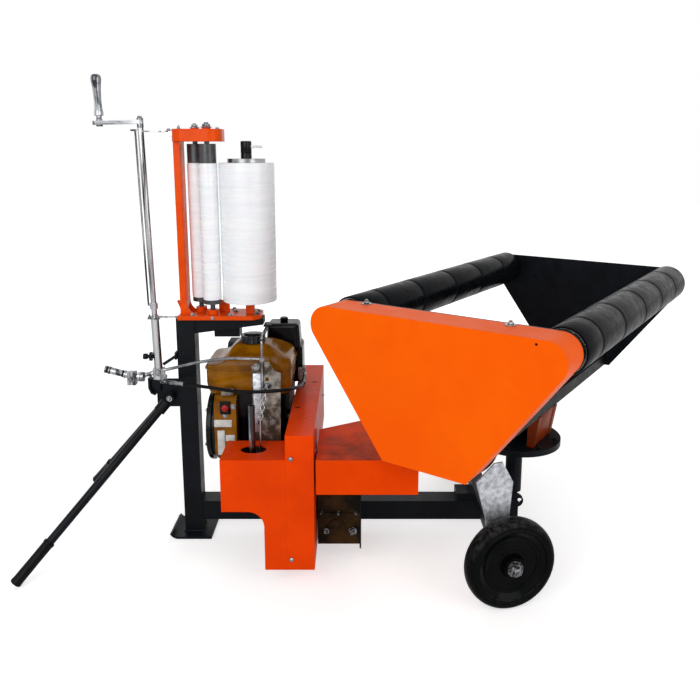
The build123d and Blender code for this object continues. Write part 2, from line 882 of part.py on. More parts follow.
link_route = (
    # x, y, z from the lug on the pole to the lever plate
    (-69.4, -58, 596),
    (-40, -58, 600),
    (58, -tank_half + 5, 634),
    (160, -tank_half - 42, 652),
    (222, lever_y - 8, 655),
    (262, lever_y - 8, 655),
)
link_radius = 4.0
with BuildPart() as link_rod:
    with BuildLine() as link_line:
        FilletPolyline(*link_route, radius=50)
    with BuildSketch(Plane(origin=link_route[0], z_dir=link_line.line % 0)):
        Circle(link_radius)
    sweep()
finish(link_rod.part, "link_rod")

cable_route = (
    # x, y, z along the cable, from the ferrule at the pole to the lever on the belt cover
    (-37, -66, 554),
    (66, -122, 563),
    (200, -198, 567),
    (330, -236, 586),
    (376, -150, 567),
    (386, -40, 544),
    (381, 59.6, 540),
)
cable_radius = 4.0
with BuildPart() as control_cable:
    with BuildLine() as cable_line:
        FilletPolyline(*cable_route, radius=(50, 50, 42, 50, 50))
    with BuildSketch(Plane(origin=cable_route[0], z_dir=cable_line.line % 0)):
        Circle(cable_radius)
    sweep()
finish(control_cable.part, "control_cable")

with BuildPart() as cable_lever:
    # Block and ferrule that hold the cable's end, on a foot on the belt cover
    slab((358, 384), (88, 106), (belt_top + 26, belt_top + 71))
    slab((362, 380), (92, 102), (belt_top, belt_top + 26))
    rod((381, 60, 540), (381, 88, 540), cable_radius + 2)
finish(cable_lever.part, "cable_lever")

# Control pole with its crank

with BuildPart() as control_pole:
    rod(on_pole(0), on_pole(sleeve_length), sleeve_radius)
    rod(on_pole(0), on_pole(pole_length), pole_radius)
    # Foot block with the lug of the link rod and the ferrule of the cable
    slab((pole_foot_x - 16, pole_foot_x + 18), (pole_y - 14, pole_y + 14), (pole_foot_z - 22, pole_foot_z + 14))
    rod((-92, -46, 560), (-38.2, -65.6, 554.1), cable_radius + 1)
    # Strap to the dispenser's base, and the strap and tab to its head
    strap_z = plate_top - 8
    slab((pole_foot_x - 22, pole_foot_x + 16), (pole_y - 20, pole_y + 20), (strap_z, strap_z + 4))
    slab((pole_foot_x, plate_start), (pole_y + 6, pole_y + 20), (strap_z, strap_z + 4))
    tab_z = head_bottom + 16
    slab((head_start - 28, head_start), (-14, 14), (tab_z, tab_z + 16))
    with BuildSketch(Plane.XY.offset(tab_z + 13)):
        with BuildLine():
            Polyline((-114, -57), (-96, -60), (-30, -14), (-30, 12), (-44, 12), (-112, -42), close=True)
        make_face()
    extrude(amount=3)
    # Thin rod beside the pole, held by a collar and a hook
    rod(on_pole(thin_rod_start - 10), on_pole(thin_rod_start + 8), pole_radius + 4)
    rod(on_pole(thin_rod_start, -thin_rod_side), on_pole(thin_rod_end, -thin_rod_side), 3)
    for low, left in ((thin_rod_start, thin_rod_side), (thin_rod_end - 5, hook_side)):
        rod(on_pole(low + 2.5, -left), on_pole(low + 2.5), 3)
    rod(on_pole(pole_length - 30), on_pole(pole_length), 6 + running_play, Mode.SUBTRACT)
    # Hand lever with its block and nut
    lever_block = pole_foot_x - 75
    lever_z = pole_foot_z - 12
    rod((lever_block - 101, pole_y, lever_z + 22), (lever_block - 20, pole_y, lever_z), 11)
    slab((lever_block - 27, lever_block), (pole_y - 12, pole_y + 12), (lever_z - 30, lever_z + 13))
    rod((lever_block, pole_y, lever_z - 3), (lever_block + 9, pole_y, lever_z - 2), 8)
    rod((lever_block + 8, pole_y, lever_z - 4), (lever_block + 26, pole_y, lever_z - 4), 16)
    rod((lever_block + 20, pole_y, lever_z - 1), (pole_foot_x - 10, pole_y, pole_foot_z - 1), 7)
finish(control_pole.part, "control_pole")

with BuildPart() as pole_clamp:
    # Bracket bent from sheet under the pole's foot, and the black stay with its knob
    with BuildSketch(across(-ear_inner)):
        with BuildLine():
            Polyline(
                (ear_start, 506),
                (-118, 512),
                (-126, 530),
                (-126, 565),
                (-120, 565),
                (-120, 532),
                (-114, 517),
                (ear_start, 512),
                close=True,
            )
        make_face()
    extrude(amount=30)
    slab((-120, pole_foot_x - 14), (pole_y, pole_y + 12), (pole_foot_z - 28, pole_foot_z - 22))
    slab((-half_tube - 6, -half_tube), (pole_y + 8, -14), (knob_z - 14, knob_z + 10))
    rod((pole_foot_x + sleeve_radius + 2, pole_y + 3, pole_foot_z + 25), (-half_tube - 2, pole_y + 14, knob_z - 2), 5)
    rod((pole_foot_x - 47, pole_y, knob_z), (pole_foot_x - 35, pole_y, knob_z), 9.5)
    rod((pole_foot_x - 35, pole_y, knob_z), (pole_foot_x - 26, pole_y, knob_z), 6)
    rod((pole_foot_x - 26, pole_y, knob_z), (pole_foot_x - 19, pole_y, knob_z), 14.5)
    rod((pole_foot_x - 19, pole_y, knob_z), (pole_foot_x, pole_y, knob_z), 6)
    rod(on_pole(0), on_pole(sleeve_length), sleeve_radius, Mode.SUBTRACT)
finish(pole_clamp.part, "pole_clamp")

with BuildPart() as crank:
    hub_low = pole_length + face_gap
    bar_low = pole_length + crank_rise
    bar_high = bar_low + crank_bar
    rod(on_pole(pole_length - 28), on_pole(hub_low), 6)
    rod(on_pole(hub_low), on_pole(bar_high + 4), crank_hub)
    with BuildSketch(pole_flat(bar_low)):
        with Locations(((-crank_reach - crank_beyond + crank_hub) / 2, 0)):
            SlotOverall(crank_reach + crank_beyond + crank_hub, 20)
    extrude(amount=crank_bar)
    rod(on_pole(bar_low - 5, -crank_reach), on_pole(bar_low, -crank_reach), 10)
    rod(on_pole(bar_high, -crank_reach), on_pole(bar_high + crank_pin, -crank_reach), 8)
finish(crank.part, "crank")

with BuildPart() as crank_grip:
    grip_start = bar_high + crank_pin
    with BuildSketch(Plane(origin=on_pole(grip_start, -crank_reach), x_dir=pole_side, z_dir=(0, -1, 0))):
        # Half section: radius to the right, height up
        with BuildLine():
            Polyline(
                (0, 0),
                (14.5, 0),
                (14.5, 12),
                (11.5, 50),
                (12.5, grip_height - 40),
                (16, grip_height - 18),
                (13, grip_height - 5),
                (6, grip_height),
                (0, grip_height),
                close=True,
            )
        make_face()
    revolve(axis=Axis(on_pole(grip_start, -crank_reach), pole_axis))
finish(crank_grip.part, "crank_grip")

# Tow handle

with BuildPart() as handle_bracket:
    for side in (-1, 1):
        y_limits = sorted((side * ear_inner, side * (ear_inner + ear_thickness)))
        slab((ear_start, -half_tube), y_limits, (ear_low, ear_high))
    slab((-half_tube - 5, -half_tube), (-ear_inner, ear_inner), (ear_low, pivot_z - 22))
    rod((pivot_x, -40, pivot_z), (pivot_x, 40, pivot_z), handle_hub_radius + running_play, Mode.SUBTRACT)
finish(handle_bracket.part, "handle_bracket")

with BuildPart() as handle_hub:
    rod((pivot_x, -handle_hub_half, pivot_z), (pivot_x, handle_hub_half, pivot_z), handle_hub_radius)
finish(handle_hub.part, "handle_hub")

for side_name, side in (("left", -1), ("right", 1)):
    root = Vector(pivot_x, side * shaft_root_y, pivot_z)
    tip = Vector(grip_tip_x, side * grip_tip_y, grip_tip_z)
    reach = (tip - root).normalized()
    grip_root = tip - reach * grip_length
    with BuildPart() as handle_shaft:
        rod(root, (tip - reach * 5), shaft_radius)
        hub_y = sorted((side * (shaft_root_y - 40), side * (shaft_root_y + 40)))
        rod((pivot_x, hub_y[0], pivot_z), (pivot_x, hub_y[1], pivot_z), handle_hub_radius, Mode.SUBTRACT)
        solids = handle_shaft.part.solids().sort_by(Axis.X)
    finish(Part() + solids[0], f"handle_shaft_{side_name}")
    with BuildPart() as handle_grip:
        rod(grip_root, tip, grip_radius)
        rod(grip_root, (tip - reach * 5), shaft_radius, Mode.SUBTRACT)
    finish(handle_grip.part, f"handle_grip_{side_name}")

# Film dispenser on the arm

stretch_rollers = (
    # name, x, y, radius
    ("back", 45.0, 25.0, 27.0),
    ("front", 92.0, -23.0, 28.0),
)

with BuildPart() as dispenser_base:
    frame_right = frame_left + frame_width
    slab((plate_start, plate_end), (plate_front, plate_back), (post_top, plate_top))
    chamfer(dispenser_base.edges().filter_by(Axis.Z).sort_by(Axis.X)[-2:], 22)
    # Gussets of the upright, hollowed
    for gusset_y in (-frame_depth / 2 + 6, frame_depth / 2):
        with BuildSketch(across(gusset_y)):
            with BuildLine():
                foot = Line((frame_right, plate_top), (frame_right + gusset_radius, plate_top))
                middle = (frame_right + gusset_radius, plate_top + gusset_radius)
                hollow_arc = CenterArc(middle, gusset_radius, 270, -90)
                Line(hollow_arc @ 1, foot @ 0)
            make_face()
        extrude(amount=6)
    horn_top = plate_top + 40
    # Small horn at the pole's side and the bracket behind the front roller
    with BuildSketch(across(20)):
        with BuildLine():
            Polyline((-18, plate_top), (-14, plate_top), (-20, horn_top - 18), (-28, horn_top), (-32, horn_top - 3), (-25, horn_top - 20), close=True)
        make_face()
    extrude(amount=14)
    slab((105, 140), (14, 20), (plate_top, plate_top + 39))
    # Square socket of the reel's spindle and bosses of the stretch rollers
    half_socket = socket_size / 2
    socket_top = reel_bottom - reel_flange - face_gap
    slab((reel_x - half_socket, reel_x + half_socket), (-half_socket, half_socket), (plate_top, socket_top))
    for name, x, y, radius in stretch_rollers:
        rod((x, y, plate_top), (x, y, plate_top + 16), 18)
        rod((x, y, post_top + 4), (x, y, plate_top + 20), stretch_shaft + running_play, Mode.SUBTRACT)
    rod((reel_x, 0, post_top + 4), (reel_x, 0, socket_top + 5), stretch_shaft + running_play, Mode.SUBTRACT)
finish(dispenser_base.part, "dispenser_base")

with BuildPart() as dispenser_frame:
    half_depth = frame_depth / 2
    slab((frame_left, frame_right), (-half_depth, half_depth), (plate_top, head_bottom))
    slab(
        (frame_left + frame_wall, frame_right - frame_wall),
        (-half_depth + frame_wall, half_depth - frame_wall),
        (plate_top, head_bottom),
        Mode.SUBTRACT,
    )
finish(dispenser_frame.part, "dispenser_frame")

with BuildPart() as dispenser_head:
    with BuildSketch(Plane.XY.offset(head_bottom)):
        with Locations(((head_start + head_end) / 2, 0)):
            RectangleRounded(head_end - head_start, 2 * head_half, head_corner)
    extrude(amount=head_height)
    for name, x, y, radius in stretch_rollers:
        rod((x, y, head_bottom), (x, y, head_bottom + 20), stretch_shaft + running_play, Mode.SUBTRACT)
        # Bearing cap of the roller
        rod((x, y, head_bottom + head_height), (x, y, head_bottom + head_height + 5), 14)
finish(dispenser_head.part, "dispenser_head")

for name, x, y, radius in stretch_rollers:
    with BuildPart() as stretch_roller:
        rod((x, y, stretch_bottom), (x, y, stretch_top), radius)
        rod((x, y, post_top + 6), (x, y, head_bottom + 18), stretch_shaft)
    finish(stretch_roller.part, f"stretch_roller_{name}")

with BuildPart() as reel_spindle:
    rod((reel_x, 0, post_top + 6), (reel_x, 0, reel_top + 10), stretch_shaft)
    rod((reel_x, 0, reel_bottom - reel_flange), (reel_x, 0, reel_bottom), reel_plate - 5)
    rod((reel_x, 0, reel_top), (reel_x, 0, reel_top + 12), reel_plate)
    rod((reel_x, 0, reel_top + 12), (reel_x, 0, reel_top + 66), reel_hub)
    # Locking lever
    slab((reel_x, reel_x + 50), (-6, 6), (reel_top + 45, reel_top + 53))
finish(reel_spindle.part, "reel_spindle")

with BuildPart() as film_roll:
    rod((reel_x, 0, reel_bottom), (reel_x, 0, reel_top), reel_radius)
    rod((reel_x, 0, reel_bottom), (reel_x, 0, reel_top), stretch_shaft, Mode.SUBTRACT)
finish(film_roll.part, "film_roll")
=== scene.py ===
import bpy
import bmesh
import json
from math import cos, pi, radians, sin
from mathutils import Matrix, Vector


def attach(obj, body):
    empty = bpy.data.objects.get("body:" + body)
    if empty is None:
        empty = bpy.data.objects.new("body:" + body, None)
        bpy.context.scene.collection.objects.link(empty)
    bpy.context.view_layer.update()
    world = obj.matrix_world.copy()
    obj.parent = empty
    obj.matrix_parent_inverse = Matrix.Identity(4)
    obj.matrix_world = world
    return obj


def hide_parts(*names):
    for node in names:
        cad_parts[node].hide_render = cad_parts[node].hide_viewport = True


# Bale wrapper: finishes for the CAD nodes, and the small pieces that ride on them.
# Sizes in the dictionaries are millimetres, in the frame of the CAD model.

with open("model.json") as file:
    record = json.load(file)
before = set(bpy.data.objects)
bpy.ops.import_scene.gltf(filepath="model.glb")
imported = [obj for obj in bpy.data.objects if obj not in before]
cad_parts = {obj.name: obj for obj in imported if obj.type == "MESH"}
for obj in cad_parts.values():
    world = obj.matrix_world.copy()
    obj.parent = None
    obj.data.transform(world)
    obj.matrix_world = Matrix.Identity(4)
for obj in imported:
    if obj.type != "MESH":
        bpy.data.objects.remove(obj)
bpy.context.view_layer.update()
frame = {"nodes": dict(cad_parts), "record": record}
nodes = frame["nodes"]
print("frame loaded:", len(nodes), "nodes")

# Camera at the photograph's angle; its shift is in pixels of the square picture
cameraSetup = {
    "place": (556, -2309.7, 1300), "tilt": 79.327, "lens": 36.86, "sensor": 36, "shift": (-5.064, -64.03),
    "pixels": 700,
}


def mm(*values):
    # a place in metres from millimetres
    return Vector(values) / 1000


def addObject(name, data):
    item = bpy.data.objects.new(name, data)
    bpy.context.collection.objects.link(item)
    return item


camera = bpy.data.cameras.new("camera")
camera.lens = cameraSetup["lens"]
camera.sensor_width = cameraSetup["sensor"]
camera.shift_x, camera.shift_y = [pixels / cameraSetup["pixels"] for pixels in cameraSetup["shift"]]
cameraObject = addObject("camera", camera)
cameraObject.location = mm(*cameraSetup["place"])
cameraObject.rotation_euler = (radians(cameraSetup["tilt"]), 0, 0)
bpy.context.scene.camera = cameraObject


# Small helpers for materials

def fromHex(code):
    # sRGB hex to the linear colour that a socket takes
    parts = [int(code[i:i + 2], 16) / 255 for i in (1, 3, 5)]
    return tuple(c / 12.92 if c <= 0.04045 else ((c + 0.055) / 1.055) ** 2.4 for c in parts) + (1.0,)


def addNode(tree, kind, inputs=None, **settings):
    # one node with its settings; each input is a value or the output that feeds it
    node = tree.nodes.new(kind)
    for key, value in settings.items():
        setattr(node, key, value)
    for key, value in (inputs or {}).items():
        if isinstance(value, bpy.types.NodeSocket):
            tree.links.new(value, node.inputs[key])
        else:
            node.inputs[key].default_value = value
    return node


def addMath(tree, operation, first, second):
    return addNode(tree, "ShaderNodeMath", {0: first, 1: second}, operation=operation).outputs["Value"]


def mixColours(tree, share, under, over):
    # one colour laid over another by a share; a mix node has to be asked for its sockets by number
    return addNode(tree, "ShaderNodeMix", {0: share, 6: under, 7: over}, data_type="RGBA").outputs[2]


def addNoise(tree, place, scale, form):
    # form is the noise's detail and roughness
    values = {"Vector": place, "Scale": scale, "Detail": form[0], "Roughness": form[1]}
    return addNode(tree, "ShaderNodeTexNoise", values).outputs["Fac"]


def addRange(tree, value, given, wanted=(0, 1)):
    # stretches a given range of values to the wanted one
    values = {"Value": value, "From Min": given[0], "From Max": given[1], "To Min": wanted[0], "To Max": wanted[1]}
    return addNode(tree, "ShaderNodeMapRange", values).outputs["Result"]


def heightOf(tree, vector):
    return addNode(tree, "ShaderNodeSeparateXYZ", {"Vector": vector}).outputs["Z"]


# What all surfaces share: detail and roughness of their noises, and the levels at which each noise is cut
noise = {
    "patch": (5, 0.6), "patchCut": (0.35, 0.65), "speck": (8, 0.7), "speckCut": (0.42, 0.62), "dustAndShadeTilt": (0.1, 1.0),
    "wear": (6, 0.5), "wearCut": (0.3, 0.7), "wearScale": 2300, "grain": (3, 0.5), "bump": 0.35, "bevelSamples": 4,
}
shaderSockets = {
    "specular": "Specular IOR Level", "metallic": "Metallic", "subsurface": "Subsurface Weight",
    "subsurfaceScale": "Subsurface Scale",
}


def finishSurface(name, look):
    # a surface whose colour and roughness wander over patches, with a fine grain and soft edges
    material = bpy.data.materials.new(name)
    material.use_nodes = True
    tree = material.node_tree
    shader = tree.nodes["Principled BSDF"]
    place = addNode(tree, "ShaderNodeTexCoord").outputs["Object"]
    stretch = {"Vector": place, "Scale": look.get("stretch", (1, 1, 1))}
    place = addNode(tree, "ShaderNodeMapping", stretch).outputs["Vector"]
    patches = addNoise(tree, place, 1000 / look["patch"], noise["patch"])
    spread = addRange(tree, patches, look.get("contrast", noise["patchCut"]))
    colour = mixColours(tree, spread, fromHex(look["colour"]), fromHex(look["other"]))
    if "above" in look:
        # a second paint above a height
        over = addMath(tree, "GREATER_THAN", heightOf(tree, place), look["above"] / 1000)
        colour = mixColours(tree, over, colour, fromHex(look["aboveColour"]))
    if "dustAndShade" in look:
        # dust that settles on faces turned up; on the drive's boxes and the chain case the same mask is painted shade
        # that darkens their tops
        facing = addNode(tree, "ShaderNodeNewGeometry").outputs["Normal"]
        upturnedShare = addRange(tree, heightOf(tree, facing), noise["dustAndShadeTilt"], (0, look["dustAndShadeAmount"]))
        specks = addNoise(tree, place, 1000 / look["dustAndShadePatch"], noise["speck"])
        dustAndShadeShare = addMath(tree, "MULTIPLY", upturnedShare, addRange(tree, specks, noise["speckCut"]))
        colour = mixColours(tree, dustAndShadeShare, colour, fromHex(look["dustAndShade"]))
    tree.links.new(colour, shader.inputs["Base Color"])
    wear = addNoise(tree, place, noise["wearScale"] / look["patch"], noise["wear"])
    tree.links.new(addRange(tree, wear, noise["wearCut"], look["rough"]), shader.inputs["Roughness"])
    relief = {
        "Height": addNoise(tree, place, 1000 / look["grain"], noise["grain"]),
        "Strength": look.get("bump", noise["bump"]), "Distance": look["depth"] / 1000,
    }
    if "edge" in look:
        rounded = addNode(tree, "ShaderNodeBevel", {"Radius": look["edge"] / 1000}, samples=noise["bevelSamples"])
        relief["Normal"] = rounded.outputs["Normal"]
    bump = addNode(tree, "ShaderNodeBump", relief)
    tree.links.new(bump.outputs["Normal"], shader.inputs["Normal"])
    for key, socket in shaderSockets.items():
        if key in look:
            shader.inputs[socket].default_value = look[key]
    return material


# Powder-coated steel: satin, near black with a blue cast; the cured powder leaves a fine orange peel
frameBlack = finishSurface("powderCoatedSteelBlack", {
    "colour": "#0A0D11", "other": "#11151A", "patch": 90, "rough": (0.26, 0.42), "grain": 4, "depth": 0.12,
    "edge": 1.5, "dustAndShade": "#242426", "dustAndShadeAmount": 0.2, "dustAndShadePatch": 45, "specular": 0.1,
})
# Sprayed enamel on sheet steel: bright orange, even, with a soft gloss and rolled edges
coverOrange = finishSurface("sprayedEnamelOrange", {
    "colour": "#FF6400", "other": "#FB5C00", "patch": 190, "rough": (0.3, 0.42), "grain": 6, "depth": 0.08,
    "edge": 1.8, "specular": 0.04,
})
# Enamel on the table's carrier: orange on the flared legs and their web, black on the beams; the orange is darkened
# with painted shade from the table above
carrierEnamel = finishSurface("sprayedEnamelTwoColours", {
    "colour": "#8A3202", "other": "#6A2401", "patch": 90, "rough": (0.32, 0.46), "grain": 6, "depth": 0.1,
    "edge": 1.5, "above": 458.4, "aboveColour": "#0C0E10", "specular": 0.1,
})
# The same enamel from a redder batch, on the drive's boxes, with a faint painted shade on faces turned up
boxOrange = finishSurface("sprayedEnamelRedOrange", {
    "colour": "#E84200", "other": "#DB3C00", "patch": 130, "rough": (0.24, 0.38), "grain": 6, "depth": 0.08,
    "edge": 1.8, "dustAndShade": "#D24206", "dustAndShadeAmount": 0.3, "dustAndShadePatch": 60, "specular": 0.05,
})
# The same, on the chain case under the table, with painted shade that darkens its top in large patches
caseOrange = finishSurface("sprayedEnamelShadedTop", {
    "colour": "#EC4600", "other": "#E04000", "patch": 130, "rough": (0.3, 0.44), "grain": 6, "depth": 0.08,
    "edge": 1.8, "dustAndShade": "#742A06", "dustAndShadeAmount": 0.95, "dustAndShadePatch": 320, "specular": 0.03,
})
# Brushed-on gloss enamel over tube and plate: thicker, so more gloss and soft welds
dispenserOrange = finishSurface("brushedEnamelOrange", {
    "colour": "#EA5002", "other": "#DC4400", "patch": 60, "rough": (0.16, 0.3), "grain": 9, "depth": 0.3, "edge": 2.2,
    "specular": 0.1,
})
# Stoved enamel on pressed sheet: ochre, glossy, darker where it is handled
engineOchre = finishSurface("stovedEnamelOchre", {
    "colour": "#9C6203", "other": "#6E4202", "patch": 80, "rough": (0.08, 0.2), "grain": 8, "depth": 0.12,
    "edge": 2.0, "specular": 0.13,
})
# Ochre paint over sand-cast iron: coarse and dull; both colours are darkened to near black with painted shade from
# the box above, in darker patches
gearboxOchre = finishSurface("paintedCastIronOchre", {
    "colour": "#33210A", "other": "#0B0802", "patch": 45, "contrast": (0.4, 0.62), "rough": (0.3, 0.55), "grain": 3.5,
    "depth": 0.5, "bump": 0.6, "edge": 2.0, "specular": 0.07,
})
# Hot-dip galvanised plate: zinc crystals about 6 mm wide, some bright and some dull
galvanised = finishSurface("hotDipGalvanisedSteel", {
    "colour": "#DDE0E5", "other": "#9EA3AB", "patch": 13, "contrast": (0.36, 0.64), "rough": (0.32, 0.55), "grain": 5,
    "depth": 0.12, "edge": 1.0, "metallic": 0.85,
})
# Galvanised plate with oil and rust dust worked into it
wornGalvanised = finishSurface("wornGalvanisedSteel", {
    "colour": "#ADA79D", "other": "#453E35", "patch": 36, "contrast": (0.36, 0.6), "rough": (0.35, 0.6), "grain": 4,
    "depth": 0.2, "edge": 1.0, "metallic": 0.8,
})
# Zinc-plated steel: silver grey, a little tarnished in patches
zincSteel = finishSurface("zincPlatedSteel", {
    "colour": "#AAABAD", "other": "#58595C", "patch": 40, "contrast": (0.34, 0.68), "rough": (0.16, 0.32), "grain": 3,
    "depth": 0.03, "edge": 0.6, "metallic": 1.0,
})
# Drawn steel tube, zinc-plated, with light and dark lines along its length that are painted reflections, drawn here 9
# mm apart
streakedTube = finishSurface("zincPlatedTubeStreaked", {
    "colour": "#BDBEC0", "other": "#3E3F43", "patch": 18, "contrast": (0.42, 0.56), "stretch": (1, 1, 0.06),
    "rough": (0.12, 0.3), "grain": 3, "depth": 0.03, "edge": 0.6, "metallic": 1.0,
})
# Steel fasteners darkened with painted shade, with small bright patches that are painted glints
shadedGlintSteel = finishSurface("shadedGlintSteelFasteners", {
    "colour": "#85868A", "other": "#1E1E20", "patch": 9, "contrast": (0.44, 0.56), "rough": (0.2, 0.4), "grain": 3,
    "depth": 0.05, "edge": 0.6, "metallic": 0.9,
})
# Polished chromium plate: almost a mirror, with dark streaks along the grip that are painted reflections
chromium = finishSurface("polishedChromium", {
    "colour": "#D2D3D7", "other": "#4A4C50", "patch": 22, "contrast": (0.4, 0.56), "stretch": (1, 1, 0.12),
    "rough": (0.05, 0.12), "grain": 12, "depth": 0.02, "edge": 0.8, "metallic": 1.0,
})
# Zinc-plated flat bar of the crank, handled bare: grey, with dark lines along the arm that are painted reflections
streakedBarSteel = finishSurface("zincPlatedBarStreaked", {
    "colour": "#97989B", "other": "#424346", "patch": 16, "contrast": (0.42, 0.6), "stretch": (0.1, 1, 1),
    "rough": (0.16, 0.32), "grain": 3, "depth": 0.03, "edge": 0.8, "metallic": 1.0,
})
# Black chromium over steel on the filler cap: dark mirror
blackChromium = finishSurface("blackChromiumPlate", {
    "colour": "#3C3D40", "other": "#232427", "patch": 25, "rough": (0.1, 0.22), "grain": 8, "depth": 0.05,
    "edge": 1.5, "metallic": 0.9,
})
# Vulcanised rubber lagging, ground smooth: near black with a bluish cast and scuffs
rollerRubber = finishSurface("groundRubberLagging", {
    "colour": "#08090B", "other": "#101215", "patch": 70, "rough": (0.16, 0.34), "grain": 38, "depth": 2.6,
    "bump": 0.5, "dustAndShade": "#121418", "dustAndShadeAmount": 0.3, "dustAndShadePatch": 30, "specular": 0.02,
})
# Polyurethane sleeves of the two stretch rollers, turned smooth: dark grey with a clear gloss
sleeveGrey = finishSurface("turnedPolyurethaneGrey", {
    "colour": "#3E4044", "other": "#2C2E31", "patch": 40, "rough": (0.2, 0.32), "grain": 6, "depth": 0.05,
    "edge": 1.0,
})
# Moulded tyre rubber: black side wall, grey dust pressed into the tread
tyreRubber = finishSurface("mouldedTyreRubber", {
    "colour": "#030404", "other": "#070808", "patch": 40, "rough": (0.24, 0.42), "grain": 5, "depth": 0.5,
    "dustAndShade": "#56585C", "dustAndShadeAmount": 0.5, "dustAndShadePatch": 20, "specular": 0.05,
})
# Gloss enamel on a spun wheel disc
wheelEnamel = finishSurface("glossEnamelBlack", {
    "colour": "#050606", "other": "#0B0C0D", "patch": 60, "rough": (0.1, 0.2), "grain": 14, "depth": 0.5,
    "bump": 0.5, "edge": 1.5, "specular": 0.05,
})
# Injection-moulded polypropylene with a fine spark-eroded grain, drawn at 1.6 mm so that it shows
mouldedPlastic = finishSurface("mouldedPolypropyleneBlack", {
    "colour": "#060709", "other": "#0D0E10", "patch": 55, "rough": (0.1, 0.28), "grain": 1.6, "depth": 0.06,
    "edge": 2.5, "dustAndShade": "#2A2B2F", "dustAndShadeAmount": 0.3, "dustAndShadePatch": 18, "specular": 0.16,
})
# Extruded cable sheath and moulded grips: softer and duller than the plastic
gripRubber = finishSurface("mouldedGripRubber", {
    "colour": "#050607", "other": "#0C0D0F", "patch": 30, "rough": (0.28, 0.45), "grain": 1.8, "depth": 0.1,
    "specular": 0.1,
})
# Die-cast aluminium: pale grey, slightly porous skin
castAluminium = finishSurface("dieCastAluminium", {
    "colour": "#9EA0A3", "other": "#7A7C80", "patch": 40, "rough": (0.4, 0.6), "grain": 2.2, "depth": 0.25,
    "edge": 0.8, "metallic": 0.9,
})
# Heat-resistant stove paint on the silencer
stovePaint = finishSurface("heatResistantBlack", {
    "colour": "#0E0E0E", "other": "#1C1917", "patch": 35, "rough": (0.5, 0.7), "grain": 2.5, "depth": 0.25,
    "edge": 1.5, "specular": 0.25,
})
# Blown polyethylene stretch film, many layers: milky, glossy, with level streaks where it was pulled
stretchFilm = finishSurface("blownStretchFilm", {
    "colour": "#FBFCFE", "other": "#E9EDF2", "patch": 300, "contrast": (0.25, 0.75), "stretch": (1, 1, 12),
    "rough": (0.16, 0.34), "grain": 190, "depth": 1.0, "bump": 0.25, "subsurface": 0.15, "subsurfaceScale": 0.01,
})
# Coated paper, blank, a little soiled
paperLabel = finishSurface("coatedPaperWhite", {
    "colour": "#DCDCD9", "other": "#BDBDB9", "patch": 18, "rough": (0.4, 0.55), "grain": 6, "depth": 0.05,
})
# Red moulded switch rocker
redPlastic = finishSurface("mouldedNylonRed", {
    "colour": "#B5100A", "other": "#900A06", "patch": 12, "rough": (0.25, 0.4), "grain": 3, "depth": 0.05,
    "edge": 0.8, "specular": 0.3,
})
# Painted shade: dark marks laid on the surface where holes and slots are, in place of openings
holeShade = finishSurface("holeShadeBlack", {
    "colour": "#040303", "other": "#090606", "patch": 10, "rough": (0.8, 0.9), "grain": 3, "depth": 0.05,
    "specular": 0.1,
})

finishOfSlot = {
    "frame_paint": frameBlack, "orange_paint": boxOrange, "engine_paint": engineOchre, "gearbox_paint": gearboxOchre,
    "galvanised": galvanised, "bright_steel": zincSteel, "chromed": chromium, "roller_rubber": rollerRubber,
    "tyre_rubber": tyreRubber, "wheel_paint": wheelEnamel, "black_plastic": mouldedPlastic, "grip_rubber": gripRubber,
    "aluminium_cast": castAluminium, "stretch_film": stretchFilm,
}
finishOfNode = {
    "chain_cover": coverOrange, "chain_case": caseOrange, "table_beams": carrierEnamel, "crank": streakedBarSteel,
    "dispenser_base": dispenserOrange, "dispenser_frame": dispenserOrange, "dispenser_head": dispenserOrange,
    "lever_plate": wornGalvanised, "tank_cap": blackChromium, "control_pole": streakedTube, "guide_tube": streakedTube,
    "muffler": stovePaint, "stretch_roller_front": sleeveGrey, "stretch_roller_back": sleeveGrey,
}
slotOfNode = {part["node"]: part["material_slot"] for part in frame["record"]["subparts"]}
for node, item in nodes.items():
    item.data.materials.clear()
    item.data.materials.append(finishOfNode.get(node, finishOfSlot[slotOfNode[node]]))
print("finishes set")


# Small helpers for pieces

upward = (0, 0, 1)
nearward = (0, -1, 0)
farward = (0, 1, 0)
backward = (-1, 0, 0)
smoothAngle = 38
boltForm = {"washer": 2, "soft": 0.4, "cornerShare": 0.577, "chamferParts": 14, "studShare": 0.3, "studSoft": 1}
rodForm = {"roundSteps": 3, "lineSteps": 10}


def freshVerts(shape, before):
    return [v for v in shape.verts if v not in before]


def aim(start, along):
    # turns +Z towards a direction and moves to a start
    turn = Vector(upward).rotation_difference(Vector(along).normalized()).to_matrix().to_4x4()
    return Matrix.Translation(mm(*start)) @ turn


def ringPlaces(middle, right, ahead, count, first=0):
    # places evenly round a middle, with two half axes to lay the ring in
    angles = [first + step * 2 * pi / count for step in range(count)]
    return [tuple(m + r * cos(a) + h * sin(a) for m, r, h in zip(middle, right, ahead)) for a in angles]


def addTurned(shape, profile, start, along, steps, closed=False):
    # a profile of (radius, height) spun round an axis
    before = set(shape.verts)
    points = [shape.verts.new((radius / 1000, 0, height / 1000)) for radius, height in profile]
    pairs = list(zip(points, points[1:])) + ([(points[-1], points[0])] if closed else [])
    edges = [shape.edges.new(pair) for pair in pairs]
    geom = points + edges
    bmesh.ops.spin(shape, geom=geom, cent=(0, 0, 0), axis=upward, angle=2 * pi, steps=steps, use_merge=True)
    bmesh.ops.remove_doubles(shape, verts=freshVerts(shape, before), dist=0.000002)
    bmesh.ops.transform(shape, matrix=aim(start, along), verts=freshVerts(shape, before))


